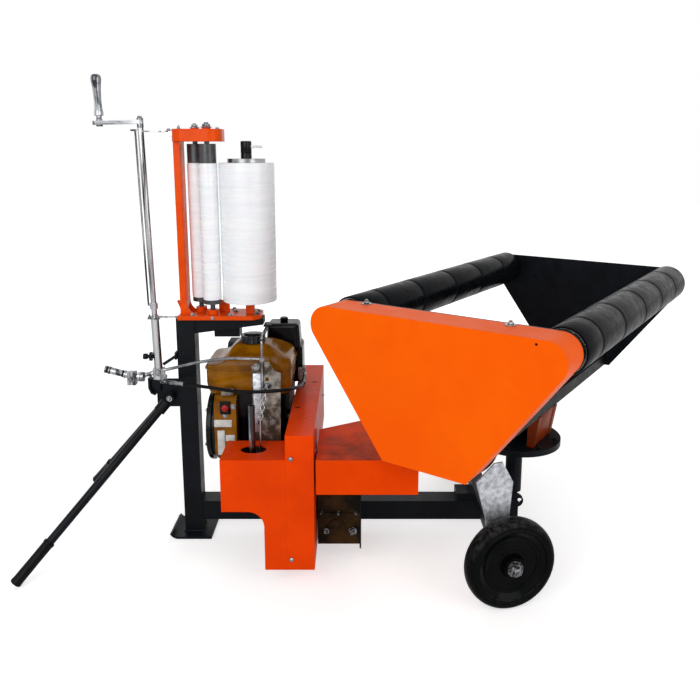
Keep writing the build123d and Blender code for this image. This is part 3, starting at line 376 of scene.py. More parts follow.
def addBlock(shape, low, high, soft=1.5):
    # a block between two corners with rounded edges
    made = bmesh.ops.create_cube(shape, size=1)
    size = [high[i] - low[i] for i in range(3)]
    middle = [(high[i] + low[i]) / 2 for i in range(3)]
    place = Matrix.Translation(mm(*middle)) @ Matrix.Diagonal(mm(*size).to_4d())
    place[3][3] = 1.0
    bmesh.ops.transform(shape, matrix=place, verts=made["verts"])
    edges = list({edge for vert in made["verts"] for edge in vert.link_edges})
    bmesh.ops.bevel(
        shape, geom=edges, offset=soft / 1000, offset_type="OFFSET", segments=2, profile=0.5, affect="EDGES",
        material=-1, clamp_overlap=True,
    )


def addBolt(shape, start, along, across, height, washer=0.9, stud=0):
    # washer, six-sided head and, on a nut, the end of its stud
    rim, thick, soft = across * washer, boltForm["washer"], boltForm["soft"]
    profile = [(0, 0), (rim - soft, 0), (rim, soft), (rim, thick - soft), (rim - soft, thick), (0, thick)]
    addTurned(shape, profile, start, along, steps=24)
    before = set(shape.verts)
    corner = across / 1000 * boltForm["cornerShare"]
    bmesh.ops.create_cone(shape, cap_ends=True, segments=6, radius1=corner, radius2=corner, depth=height / 1000)
    edges = list({edge for vert in freshVerts(shape, before) for edge in vert.link_edges})
    bmesh.ops.bevel(
        shape, geom=edges, offset=across / boltForm["chamferParts"] / 1000, offset_type="OFFSET", segments=1,
        profile=0.5, affect="EDGES", material=-1,
    )
    lift = Matrix.Translation((0, 0, (thick + height / 2) / 1000))
    bmesh.ops.transform(shape, matrix=aim(start, along) @ lift, verts=freshVerts(shape, before))
    if stud:
        top, radius, soft = thick + height + stud, across * boltForm["studShare"], boltForm["studSoft"]
        profile = [(radius, soft), (radius, top - soft), (radius - soft, top), (0, top)]
        addTurned(shape, profile, start, along, steps=16)


def addBolts(shape, along, rows):
    # bolts that point one way; each row is a place and then addBolt's sizes
    for place, *sizes in rows:
        addBolt(shape, place, along, *sizes)


def finishPiece(shape, name, finish, body="frame", stands=()):
    # closes a piece: outward faces, smooth shading, finish and body
    bmesh.ops.recalc_face_normals(shape, faces=shape.faces)
    mesh = bpy.data.meshes.new(name)
    shape.to_mesh(mesh)
    shape.free()
    dressPiece(mesh, name, finish, body, stands)


def dressPiece(mesh, name, finish, body, stands):
    mesh.polygons.foreach_set("use_smooth", [True] * len(mesh.polygons))
    mesh.set_sharp_from_angle(angle=radians(smoothAngle))
    mesh.materials.clear()
    mesh.materials.append(finish)
    piece = addObject(name, mesh)
    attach(piece, body)
    if stands:
        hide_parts(*stands)


def bendRods(name, routes, radius, finish, stands=(), order=3):
    # round bars on the frame that follow smooth routes
    curve = bpy.data.curves.new(name + "Line", "CURVE")
    curve.dimensions = "3D"
    curve.bevel_depth = radius / 1000
    curve.bevel_resolution = rodForm["roundSteps"]
    curve.resolution_u = rodForm["lineSteps"]
    curve.use_fill_caps = True
    for route in routes:
        line = curve.splines.new("NURBS")
        line.points.add(len(route) - 1)
        for point, place in zip(line.points, route):
            point.co = mm(*place).to_4d()
        line.order_u = min(order, len(route))
        line.use_endpoint_u = True
    holder = addObject(name + "Line", curve)
    mesh = bpy.data.meshes.new_from_object(holder.evaluated_get(bpy.context.evaluated_depsgraph_get()))
    bpy.data.objects.remove(holder)
    bpy.data.curves.remove(curve)
    mesh.name = name
    dressPiece(mesh, name, finish, "frame", stands)


# Wheels: tyre, two rings pressed into the disc, and a capped nut over the end of the stub

wheel = {
    "x": 1000, "y": 431, "radius": 137.5, "toe": 15,
    "tyreSide": [
        (104, -25.5), (105.5, -28), (110, -28.8), (112.5, -27.6), (115, -28.8), (120, -28.4), (125.5, -26.6),
        (130, -23.4), (133.6, -18.6), (136, -12.5), (137.2, -6),
    ],
    "bead": [(77, 14.5), (78, 16.8), (80.5, 18), (83.5, 18), (86, 16.8), (87, 14.5)], "innerRing": 42,
    "cap": [(10, 48), (10, 52), (8, 54), (4, 55), (0, 55)],
    "nutOut": 36.4, "nut": (36.4, 11.5, 0.66),
}
tyreProfile = wheel["tyreSide"] + [(radius, -height) for radius, height in reversed(wheel["tyreSide"])]
innerBead = [(radius - wheel["innerRing"], height) for radius, height in wheel["bead"]]
for sideName, side in (("Left", -1), ("Right", 1)):
    toe = radians(wheel["toe"])
    out = (sin(toe), side * cos(toe), 0)
    hub = (wheel["x"], side * wheel["y"], wheel["radius"])
    body = "wheel_" + sideName.lower()
    shape = bmesh.new()
    addTurned(shape, tyreProfile, hub, out, steps=80, closed=True)
    finishPiece(shape, "tyre" + sideName, tyreRubber, body, ("wheel_tyre_" + sideName.lower(),))
    shape = bmesh.new()
    addTurned(shape, wheel["bead"], hub, out, steps=72)
    addTurned(shape, innerBead, hub, out, steps=48)
    finishPiece(shape, "discRings" + sideName, wheelEnamel, body)
    shape = bmesh.new()
    addTurned(shape, wheel["cap"], hub, out, steps=24)
    addBolt(shape, Vector(hub) + Vector(out) * wheel["nutOut"], out, *wheel["nut"])
    finishPiece(shape, "stubEnd" + sideName, shadedGlintSteel)
print("wheels done")

# Table rollers: lagging in strips with seams between them, end rings, and collars on the shafts

table = {"x": 1102, "turn": 35, "spread": 320, "rollerHeight": 815, "far": 640, "shell": (-516, 626)}
tableTurn = radians(table["turn"])
uAxis = Vector((cos(tableTurn), -sin(tableTurn), 0))
vAxis = Vector((sin(tableTurn), cos(tableTurn), 0))


def onTable(u, v, z):
    return Vector((table["x"], 0, z)) + uAxis * u + vAxis * v


lagging = {
    "under": 62.05, "radius": 63.2, "rim": 3, "rimSoft": 1, "end": 0.2,
    "seams": (120, 330, 560, 770, 980), "seamHalf": 4, "seamFloor": 1.5, "seamRadius": 62.5,
    "swell": ((4, 0.3), (16, 0.5), (36, 0.2)),
}
rollerEnd = {
    "ring": [(15.2, 0), (15.2, 2.6), (24, 2.6), (26, 1), (44, 0.6), (58, 0.6), (58, 0)],
    "collar": [(15.2, 0), (17, 1), (17, 5), (15.2, 6)], "collarOut": 2,
}
for name, u in (("Front", -table["spread"]), ("Rear", table["spread"])):
    low, high = table["shell"]
    length = high - low
    outside, end = lagging["radius"], lagging["end"]
    profile = [(lagging["under"], end), (outside - lagging["rimSoft"], end), (outside, lagging["rim"])]
    for seam in lagging["seams"]:
        profile += [(outside, seam - lagging["seamHalf"])]
        profile += [(lagging["seamRadius"], seam + step) for step in (-lagging["seamFloor"], lagging["seamFloor"])]
        profile += [(outside + rise, seam + step) for step, rise in lagging["swell"]]
    profile += [
        (outside, length - lagging["rim"]), (outside - lagging["rimSoft"], length - end),
        (lagging["under"], length - end),
    ]
    shape = bmesh.new()
    addTurned(shape, profile, onTable(u, low, table["rollerHeight"]), vAxis, steps=64)
    finishPiece(shape, "lagging" + name, rollerRubber, "roller_" + name.lower())
    shape = bmesh.new()
    for v, turned in ((low, -1), (high, 1)):
        addTurned(shape, rollerEnd["ring"], onTable(u, v, table["rollerHeight"]), vAxis * turned, steps=40)
    collarPlace = onTable(u, table["far"] + rollerEnd["collarOut"], table["rollerHeight"])
    addTurned(shape, rollerEnd["collar"], collarPlace, vAxis, steps=32)
    finishPiece(shape, "rollerEnds" + name, zincSteel, "roller_" + name.lower())

# Flanged bearings on the far side plate, and the table's bolts
bearing = {
    "ring": [(18.5, 0), (36, 0), (38, 1.5), (38, 4), (28, 6), (24, 9), (18.5, 9)],
    "circle": 32, "boltOut": 4, "bolt": (8, 3, 0.7),
}
tableBolts = {
    "cover": ((589, -304, 870), (947, -558, 870)), "coverBolt": (15, 6, 1.05, 5),
    "beams": [(u, v) for v in (600, -500, 70, -70) for u in (-85, 85)], "beamTop": 500, "beamBolt": (13, 6),
    "disc": (table["x"], 0, 352), "discCircle": 132, "discCount": 8, "discBolt": (12, 5),
}
shape = bmesh.new()
for u in (-table["spread"], table["spread"]):
    addTurned(shape, bearing["ring"], onTable(u, table["far"], table["rollerHeight"]), vAxis, steps=40, closed=True)
finishPiece(shape, "tableBearings", castAluminium, "table")
shape = bmesh.new()
for u in (-table["spread"], table["spread"]):
    middle = (u, table["far"] + bearing["boltOut"], table["rollerHeight"])
    circle = bearing["circle"]
    for place in ringPlaces(middle, (circle, 0, 0), (0, 0, circle), 4, pi / 4):
        addBolt(shape, onTable(*place), vAxis, *bearing["bolt"])
for place in tableBolts["cover"]:
    addBolt(shape, place, upward, *tableBolts["coverBolt"])
for u, v in tableBolts["beams"]:
    addBolt(shape, onTable(u, v, tableBolts["beamTop"]), upward, *tableBolts["beamBolt"])
finishPiece(shape, "tableBolts", zincSteel, "table")
shape = bmesh.new()
circle = tableBolts["discCircle"]
for place in ringPlaces(tableBolts["disc"], (circle, 0, 0), (0, circle, 0), tableBolts["discCount"], pi / 8):
    addBolt(shape, place, upward, *tableBolts["discBolt"])
finishPiece(shape, "discBolts", frameBlack, "table")

# Sloping plate that closes the two rear legs
web = {"low": 87, "thick": 6, "half": 60, "bottom": 352.2, "top": 458, "flare": 18}
shape = bmesh.new()
addBlock(shape, (web["low"], -web["half"], web["bottom"]), (web["low"] + web["thick"], web["half"], web["top"]))
for vert in shape.verts:
    vert.co.x += (vert.co.z - web["bottom"] / 1000) / (web["top"] - web["bottom"]) * web["flare"]
place = Matrix.Translation(mm(table["x"], 0, 0)) @ Matrix.Rotation(-tableTurn, 4, "Z")
bmesh.ops.transform(shape, matrix=place, verts=shape.verts)
finishPiece(shape, "legWeb", carrierEnamel, "table")

# Painted shade in the face of the table's cover: a thin dark disc where its small hole is
coverHoleShade = {"place": (297, -640, 857), "dish": [(0, 0.3), (3.2, 0.3), (3.4, 0)]}
shape = bmesh.new()
addTurned(shape, coverHoleShade["dish"], onTable(*coverHoleShade["place"]), -vAxis, steps=20)
finishPiece(shape, "coverHoleShade", holeShade, "table")
print("table done")

# Crank: grip, and nut and collar on the arm

pole = {"foot": (-88, -50, 587), "lean": 1.25}
poleLean = radians(pole["lean"])
poleAxis = Vector((-sin(poleLean), 0, cos(poleLean)))
poleSide = Vector((cos(poleLean), 0, sin(poleLean)))


def onPole(up, right=0):
    return Vector(pole["foot"]) + poleAxis * up + poleSide * right


crank = {
    "reach": 125, "gripUp": 821.5, "nutUp": 811, "nut": (13, 6, 0.75), "collarUp": 807,
    "collar": [(9.5, 0), (10, 1), (10, 4), (8.5, 5)],
    "grip": [
        (0, 0), (13, 0), (14.5, 1.5), (14.5, 10), (13.8, 14), (12.4, 24), (11.7, 38), (11.5, 50), (11.8, 66),
        (12.6, 82), (14.2, 96), (15.6, 104), (16, 110), (15.4, 116), (13.4, 120.5), (10, 123.2), (5, 124), (0, 124),
    ],
}
shape = bmesh.new()
addTurned(shape, crank["grip"], onPole(crank["gripUp"], -crank["reach"]), poleAxis, steps=40)
finishPiece(shape, "crankKnob", chromium, "crank", ("crank_grip",))
shape = bmesh.new()
addBolt(shape, onPole(crank["nutUp"]), poleAxis, *crank["nut"])
addTurned(shape, crank["collar"], onPole(crank["collarUp"], -crank["reach"]), poleAxis, steps=24)
finishPiece(shape, "crankNut", zincSteel, "crank")

# Tow handle: pushed-on grips, knuckles at the hub and nuts on the pivot

tow = {
    "pivot": (-54, 500), "rootY": 50, "tip": (-472, 349, 14), "gripLength": 150, "nutY": 66, "nut": (12, 6, 0.8, 3),
    "grip": [
        (13.6, 0), (16.6, 0.4), (17.8, 1.8), (17.8, 8), (16.9, 10), (16.4, 12), (16.2, 60), (16.4, 132), (17.2, 140),
        (17.6, 144), (16.8, 147.6), (14.6, 149.6), (12, 150), (0, 150),
    ],
    "knuckle": [(13.7, 20), (18, 20), (19, 21), (19, 57), (18, 58), (13.7, 58)],
}
pivotX, pivotZ = tow["pivot"]
tipX, tipY, tipZ = tow["tip"]
for sideName, side in (("Left", -1), ("Right", 1)):
    root = Vector((pivotX, side * tow["rootY"], pivotZ))
    tip = Vector((tipX, side * tipY, tipZ))
    reach = (tip - root).normalized()
    stands = ("handle_grip_" + sideName.lower(),)
    shape = bmesh.new()
    addTurned(shape, tow["grip"], tip - reach * tow["gripLength"], reach, steps=40)
    finishPiece(shape, "pushedOnGrip" + sideName, gripRubber, "handle", stands)
    shape = bmesh.new()
    addTurned(shape, tow["knuckle"], root, reach, steps=24, closed=True)
    finishPiece(shape, "knuckle" + sideName, frameBlack, "handle")
shape = bmesh.new()
for side in (-1, 1):
    addBolt(shape, (pivotX, side * tow["nutY"], pivotZ), (0, side, 0), *tow["nut"])
finishPiece(shape, "handleNuts", zincSteel, "handle")
print("crank and handle done")

# Film roll, film left on the stretch rollers, knob on the reel, bolts of the dispenser

film = {
    "middle": (211, 0, 0), "rollers": (("back", 45, 25, 27), ("front", 92, -23, 28)), "wound": (826, 1262),
    "layerFoot": ((0.1, 0), (1.2, 0.6), (1.5, 8)), "layerHead": ((1.3, 10), (1.1, 0.6), (0.1, 0)),
    "roll": [
        (20, 818.6), (60, 818.3), (85.5, 818.3), (87.3, 819.3), (88, 823), (87.6, 880), (88, 960), (87.7, 1060),
        (88, 1170), (87.8, 1240), (88, 1258), (87.2, 1262.4), (85.5, 1263.6), (60, 1263.6), (20, 1263.4),
    ],
    "knob": [
        (16.6, 1276.2), (17.4, 1277), (17.4, 1290), (16.9, 1291), (16.9, 1293), (17.4, 1294), (17.4, 1326),
        (16.4, 1330), (14, 1331), (0, 1331),
    ],
}
dispenserBolts = {
    "head": (
        ((45, 25, 1372), 20, 8, 0.8, 4), ((92, -23, 1372), 24, 9, 0.8, 5), ((2, -8, 1367), 9, 6, 0.8, 5),
        ((120, 12, 1367), 11, 5), ((-32, 0, 1361), 11, 5, 0.8, 3),
    ),
    "base": ((160, 14), (236, -20), (236, 20), (150, -44), (28, -44), (150, 48)), "baseTop": 776,
    "baseBolt": (11, 5), "side": (((96, -55, 769), 9, 4, 0.7),),
}
shape = bmesh.new()
addTurned(shape, film["roll"], film["middle"], upward, steps=72, closed=True)
finishPiece(shape, "filmReel", stretchFilm, "film", ("film_roll",))
for name, x, y, radius in film["rollers"]:
    low, high = film["wound"]
    profile = [(radius + out, low + rise) for out, rise in film["layerFoot"]]
    profile += [(radius + out, high - drop) for out, drop in film["layerHead"]]
    shape = bmesh.new()
    addTurned(shape, profile, (x, y, 0), upward, steps=48)
    finishPiece(shape, "filmOn" + name.capitalize() + "Roller", stretchFilm, "stretch_" + name)
shape = bmesh.new()
addTurned(shape, film["knob"], film["middle"], upward, steps=40)
finishPiece(shape, "reelKnob", mouldedPlastic, "film")
shape = bmesh.new()
addBolts(shape, upward, dispenserBolts["head"])
for x, y in dispenserBolts["base"]:
    addBolt(shape, (x, y, dispenserBolts["baseTop"]), upward, *dispenserBolts["baseBolt"])
addBolts(shape, nearward, dispenserBolts["side"])
finishPiece(shape, "dispenserBolts", zincSteel)
print("dispenser done")

# Fuel tank: two pressed halves joined at a lip, the upper one crowned and raised under the cap

tank = {
    "x": (75, 352), "half": 110, "bottom": 530, "seam": 614, "shoulder": 640, "top": 682, "cuts": 26, "corner": 34,
    "rise": (112, 158), "fall": (318, 352), "fallShare": 0.35, "crown": (0.35, 1.0), "crownShare": 0.55,
    "brow": (0.5, 1.0), "browShare": 0.3, "leanFrom": 2, "leanPast": 12, "leanShare": 0.2,
    "foot": (0.6, 1.0), "footShare": 0.05, "smoothings": 2, "flattened": 4, "clear": 0.3,
    "lipOut": 4, "lip": 4, "lipCorner": 36,
}


def ease(value, low, high):
    # runs smoothly from 0 to 1 between two values
    share = min(max((value - low) / (high - low), 0), 1)
    return share * share * (3 - 2 * share)


def pressTank(shape):
    # moves the points of a finely cut block to the tank's rounded form
    seam, shoulder, top = tank["seam"], tank["shoulder"], tank["top"]
    long = (tank["x"][1] - tank["x"][0]) / 2
    middle = (tank["x"][1] + tank["x"][0]) / 2
    limit = Vector((long - tank["corner"], tank["half"] - tank["corner"]))
    for vert in shape.verts:
        across, side, up = vert.co * 2
        x, y = across * long, side * tank["half"]
        core = Vector((min(max(x, -limit.x), limit.x), min(max(y, -limit.y), limit.y)))
        over = Vector((x, y)) - core
        reach = max(abs(over.x), abs(over.y))
        if over.length > 0:
            over = over * (reach / over.length)
        x, y = core + over
        edge = max(abs(across), abs(side))
        rise = ease(x + middle, *tank["rise"]) * (1 - tank["fallShare"] * ease(x + middle, *tank["fall"]))
        crown = 1 - tank["crownShare"] * ease(edge, *tank["crown"])
        roof = seam + (shoulder - seam) * crown
        roof += (top - shoulder) * rise * (1 - tank["browShare"] * ease(edge, *tank["brow"]))
        if up > 0:
            z = seam + (roof - seam) * up
            lean = 1 - tank["leanShare"] * ease(z, seam + tank["leanFrom"], top + tank["leanPast"])
        else:
            z = seam + (seam - tank["bottom"]) * up
            lean = 1 - tank["footShare"] * ease(-up, *tank["foot"])
        vert.co = mm(middle + x * lean, y * lean, z)


shape = bmesh.new()
bmesh.ops.create_cube(shape, size=1)
bmesh.ops.subdivide_edges(shape, edges=shape.edges, cuts=tank["cuts"], use_grid_fill=True)
pressTank(shape)
for step in range(tank["smoothings"]):
    bmesh.ops.smooth_vert(shape, verts=shape.verts, factor=0.5, use_axis_x=True, use_axis_y=True, use_axis_z=True)
bottom = tank["bottom"] / 1000
for vert in shape.verts:
    if vert.co.z < bottom + tank["flattened"] / 1000:
        vert.co.z = bottom + tank["clear"] / 1000
# lip of the seam: a flat rounded frame round the tank
before = set(shape.verts)
bmesh.ops.create_cube(shape, size=1)
lip = freshVerts(shape, before)
(left, right), half = tank["x"], tank["half"]
size = mm(right - left + 2 * tank["lipOut"], 2 * (half + tank["lipOut"]), tank["lip"])
bmesh.ops.scale(shape, vec=size, verts=lip)
bmesh.ops.translate(shape, vec=mm((left + right) / 2, 0, tank["seam"]), verts=lip)
lipEdges = [edge for edge in shape.edges if edge.verts[0] in lip and edge.verts[1] in lip]
upright = [edge for edge in lipEdges if abs(edge.verts[0].co.z - edge.verts[1].co.z) > tank["lip"] / 2 / 1000]
bmesh.ops.bevel(
    shape, geom=upright, offset=tank["lipCorner"] / 1000, offset_type="OFFSET", segments=8, profile=0.5,
    affect="EDGES", material=-1,
)
finishPiece(shape, "pressedTank", engineOchre, stands=("fuel_tank",))

# Engine: labels, switch, bolts, outlet, plates, knobs, rim of the starter, leads

engine = {
    "crankY": -20, "crankZ": 400, "fanFace": -140,
    "labels": (((106, 432), (162, 456)), ((115, 337), (138, 420)), ((141, 384), (170, 405))),
    "labelOut": 0.7, "labelIn": 0.1, "labelSoft": 0.3,
    "switch": (143, 497), "socketHalf": (17, 22), "socketOut": 3, "socketIn": 0.2, "socketSoft": 1.4,
    "rocker": [(0, 9), (7, 8.4), (10.6, 6), (11.4, 3), (11.4, 0)], "rockerOut": 2.8,
    "panelBolts": (((142, -140, 471), 9, 4), ((168, -140, 500), 9, 4)),
    "starterX": 76, "starterCircle": 109, "starterFirst": 0.3, "starterBolt": (8, 3, 0.8),
    "bedBolts": [((x, y, 292), 13, 7, 0.9, 4) for x in (198, 318) for y in (-107, 107)],
    "head": (265, 198, 395), "headHalf": (46, 45), "headBolt": (9, 4),
    "outlet": [(10, 0), (10, 26), (8, 28), (8, 14), (0, 14)], "outletPlace": (150, 213, 520),
    "throttle": ((128, -128, 532), (170, -116, 556), 2), "strip": ((242, -198.5, 440), (266, -196, 628), 1),
    "capTop": [(30, 0), (30, 2), (26, 3.5), (12, 4.5), (0, 4.6)], "capPlace": (220, -15, 706),
    "cleanerKnob": [(12, 0), (14, 3), (14, 12), (11, 15), (0, 15)], "cleanerPlace": (305, 162, 708),
    "starterHub": [(34, 0), (34, 2), (30, 4), (0, 5)],
    "rim": [(99, 0), (99, 13), (102, 16), (114, 16), (118, 13), (119, 9), (119, 0)], "rimX": 92,
    "sparkLead": [
        (240, 199, 410), (240, 232, 412), (232, 240, 440), (214, 226, 470), (205, 190, 486), (205, 150, 490),
        (205, 108, 500),
    ],
    "sparkLeadRadius": 3.5,
    "fuelHose": [(300, 60, 531), (300, 60, 512), (300, 90, 500), (300, 112, 492), (300, 124, 490)],
    "fuelHoseRadius": 4,
}
face = engine["fanFace"]
shape = bmesh.new()
for (x1, z1), (x2, z2) in engine["labels"]:
    outside, inside = face - engine["labelOut"], face + engine["labelIn"]
    addBlock(shape, (x1, outside, z1), (x2, inside, z2), engine["labelSoft"])
finishPiece(shape, "blankLabels", paperLabel)
shape = bmesh.new()
switchX, switchZ = engine["switch"]
halfX, halfZ = engine["socketHalf"]
addBlock(
    shape, (switchX - halfX, face - engine["socketOut"], switchZ - halfZ),
    (switchX + halfX, face + engine["socketIn"], switchZ + halfZ), engine["socketSoft"],
)
finishPiece(shape, "switchSocket", mouldedPlastic)
shape = bmesh.new()
addTurned(shape, engine["rocker"], (switchX, face - engine["rockerOut"], switchZ), nearward, steps=36)
finishPiece(shape, "switchRocker", redPlastic)
shape = bmesh.new()
addBolts(shape, nearward, engine["panelBolts"])
starter = (engine["starterX"], engine["crankY"], engine["crankZ"])
circle = engine["starterCircle"]
for place in ringPlaces(starter, (0, circle, 0), (0, 0, circle), 6, engine["starterFirst"]):
    addBolt(shape, place, backward, *engine["starterBolt"])
addBolts(shape, upward, engine["bedBolts"])
halfX, halfZ = engine["headHalf"]
for place in ringPlaces(engine["head"], (halfX, 0, 0), (0, 0, halfZ), 6):
    addBolt(shape, place, farward, *engine["headBolt"])
addTurned(shape, engine["outlet"], engine["outletPlace"], farward, steps=28)
finishPiece(shape, "engineBolts", zincSteel)
shape = bmesh.new()
addBlock(shape, *engine["throttle"])
finishPiece(shape, "throttlePlate", wornGalvanised)
# a strip in the brighter galvanised finish on the lever plate: a painted highlight for the lit face of the plate's
# fold
shape = bmesh.new()
addBlock(shape, *engine["strip"])
finishPiece(shape, "leverHighlightStrip", galvanised)
shape = bmesh.new()
addTurned(shape, engine["capTop"], engine["capPlace"], upward, steps=40)
addTurned(shape, engine["cleanerKnob"], engine["cleanerPlace"], upward, steps=32)
addTurned(shape, engine["starterHub"], starter, backward, steps=36)
finishPiece(shape, "engineKnobs", mouldedPlastic)
shape = bmesh.new()
rimPlace = (engine["rimX"], engine["crankY"], engine["crankZ"])
addTurned(shape, engine["rim"], rimPlace, backward, steps=72, closed=True)
finishPiece(shape, "starterRim", mouldedPlastic)
for lead in ("sparkLead", "fuelHose"):
    bendRods(lead, [engine[lead]], engine[lead + "Radius"], gripRubber)
print("engine done")

# Linkage: smooth rods, the cable in its sheath, and a short chain to the guide

linkage = {
    "rod": [
        (-69.4, -58, 596), (-40, -58, 602), (58, -105, 638), (160, -152, 664), (222, -196, 675), (265, -203, 676),
    ],
    "rodRadius": 5,
    "cable": [
        (-37, -66, 554), (66, -122, 563), (200, -198, 567), (330, -236, 586), (376, -150, 567), (386, -40, 544),
        (381, 59.6, 540),
    ],
    "cableRadius": 5.5,
    "pull": [
        (272, -203, 590), (272, -203, 660), (272, -203, 715), (272, -203, 731), (270, -192, 740), (268, -170, 741),
        (268, -140, 741),
    ],
    "pullRadius": 3.5, "pullOrder": 4,
    "stay": (((256, -30, 734), (280, 20, 740), 1.5), ((263, -206, 734), (275, -26, 737), 1)),
    "chainTop": (283, -212, 586), "chainLow": (271, -261, 506), "links": 7, "linkRadius": 6.2, "wire": 1.7,
    "linkPull": 1.5, "linkTurn": 0.4,
    "collar": [(3.6, 0), (7.4, 0.6), (7.4, 14.4), (3.6, 15)], "collarPlace": (272, -203, 668.5),
    "plateBolt": (((254, -196, 650), 11, 5),),
    "bolts": (
        ((272, -208, 676), 9, 4, 0.8), ((285, -196, 590), 15, 6, 0.95, 8), ((300, -196, 470), 11, 5),
        ((371, 88, 548), 9, 4),
    ),
    "sleeve": [(5.4, 0), (6.8, 1), (6.8, 16), (5.4, 18)], "sleevePlace": (386, -30, 543.4),
    "sleeveAlong": (-0.05, 1, -0.04),
}
bendRods("linkRodBar", [linkage["rod"]], linkage["rodRadius"], zincSteel, ("link_rod",))
bendRods(
    "cableSheath", [linkage["cable"]], linkage["cableRadius"], gripRubber, ("control_cable",),
)
bendRods(
    "pullRodBar", [linkage["pull"]], linkage["pullRadius"], zincSteel, ("pull_rod",),
    linkage["pullOrder"],
)
shape = bmesh.new()
for block in linkage["stay"]:
    addBlock(shape, *block)
finishPiece(shape, "pullStay", frameBlack)
shape = bmesh.new()
low, high = mm(*linkage["chainLow"]), mm(*linkage["chainTop"])
wireRing = [
    (linkage["linkRadius"] + linkage["wire"] * cos(step * pi / 4), linkage["wire"] * sin(step * pi / 4))
    for step in range(8)
]
for link in range(linkage["links"]):
    # rings pulled long, each turned a quarter from the last
    before = set(shape.verts)
    addTurned(shape, wireRing, (0, 0, 0), farward, steps=20, closed=True)
    middle = low.lerp(high, (link + 0.5) / linkage["links"])
    turn = Matrix.Rotation(link % 2 * pi / 2 + linkage["linkTurn"], 4, "Z")
    longer = Matrix.Diagonal((1, 1, linkage["linkPull"], 1))
    place = Matrix.Translation(middle) @ aim((0, 0, 0), high - low) @ turn @ longer
    bmesh.ops.transform(shape, matrix=place, verts=freshVerts(shape, before))
finishPiece(shape, "pullChain", zincSteel)
shape = bmesh.new()
addBolts(shape, nearward, linkage["plateBolt"])
addTurned(shape, linkage["collar"], linkage["collarPlace"], upward, steps=24, closed=True)
addBolts(shape, nearward, linkage["bolts"])
addTurned(shape, linkage["sleeve"], linkage["sleevePlace"], linkage["sleeveAlong"], steps=20)
finishPiece(shape, "linkageBolts", zincSteel)

# Foot of the control pole: bolts, end of the cable's sheath, rings and bands on the hand lever

poleFoot = {
    "strapBolts": (((-104, -66, 772), 9, 4, 0.8, 6), ((-78, -66, 772), 9, 4, 0.8, 6)),
    "bracketBolts": (((-86, -64, 590), 17, 6, 0.8, 5), ((-66, -64, 577), 12, 5, 0.8, 3)),
    "blockBolt": (((-176, -62, 566), 13, 6, 0.9, 4),),
    "ferrule": [(5.6, 0), (7.6, 0.6), (7.6, 30), (6.6, 32), (6.6, 44), (7.4, 45), (7.4, 56), (5.6, 58)],
    "ferruleBack": 14, "plate": ((-122, -40, 514), (-88, -37, 566), 1.4),
}
handLever = {
    "tip": (-264, -50, 597), "end": (-183, -50, 575),
    "under": 11.1, "rings": ((1, 5, 12.2), (13, 17, 13), (65, 70, 13.4)), "ringSoft": 0.8,
    "bandUnder": 11.05, "bandRadius": 11.5, "bands": ((5.4, 12.6), (17.4, 21), (58, 64.6)), "bandSoft": 0.3,
}
leverTip = handLever["tip"]
leverLine = Vector(handLever["end"]) - Vector(leverTip)
shape = bmesh.new()
addBolts(shape, upward, poleFoot["strapBolts"])
addBolts(shape, nearward, poleFoot["bracketBolts"])
cableStart, cableNext = Vector(linkage["cable"][0]), Vector(linkage["cable"][1])
cableLine = (cableNext - cableStart).normalized()
ferruleStart = cableStart - cableLine * poleFoot["ferruleBack"]
addTurned(shape, poleFoot["ferrule"], ferruleStart, cableLine, steps=24, closed=True)
addBolts(shape, nearward, poleFoot["blockBolt"])
for low, high, radius in handLever["rings"]:
    under, soft = handLever["under"], handLever["ringSoft"]
    ring = [(under, low), (radius - soft, low), (radius, low + soft)]
    ring += [(radius, high - soft), (radius - soft, high), (under, high)]
    addTurned(shape, ring, leverTip, leverLine, steps=28, closed=True)
finishPiece(shape, "poleBolts", zincSteel)
shape = bmesh.new()
for low, high in handLever["bands"]:
    under, radius, soft = handLever["bandUnder"], handLever["bandRadius"], handLever["bandSoft"]
    band = [(under, low), (radius, low + soft), (radius, high - soft), (under, high)]
    addTurned(shape, band, leverTip, leverLine, steps=28, closed=True)
addBlock(shape, *poleFoot["plate"])
finishPiece(shape, "footPlate", frameBlack)
print("linkage done")

# Covers and gearbox: bolts, and painted shade where the slots are

covers = {
    "dome": [(0, 5.5), (3.5, 5.2), (6.5, 3.6), (7.6, 1.2), (7.6, 0)],
    "nearDomes": ((368, -350, 417), (366, -350, 96)), "endDomes": ((435, -260, 400), (435, 260, 400)),
    "slots": ((372, -116), (411, 143)), "slotHalf": (9, 4), "slotHeight": (488.6, 489.3), "slotSoft": 0.3,
}
gearboxBolts = [((548, -262, 139), 15, 6, 0.9, 3), ((466, -262, 139), 12, 5, 0.8)]
gearboxBolts += [((x, -258, z), 8, 7, 0.7) for x in (452, 505, 558) for z in (276, 199)]
shape = bmesh.new()
for place in covers["nearDomes"]:
    addTurned(shape, covers["dome"], place, nearward, steps=28)
for place in covers["endDomes"]:
    addTurned(shape, covers["dome"], place, (1, 0, 0), steps=28)
finishPiece(shape, "coverBolts", zincSteel)
shape = bmesh.new()
addBolts(shape, nearward, gearboxBolts)
finishPiece(shape, "gearboxBolts", shadedGlintSteel)
shape = bmesh.new()
halfX, halfY = covers["slotHalf"]
low, high = covers["slotHeight"]
for x, y in covers["slots"]:
    addBlock(shape, (x - halfX, y - halfY, low), (x + halfX, y + halfY, high), covers["slotSoft"])
finishPiece(shape, "coverSlotShades", holeShade)

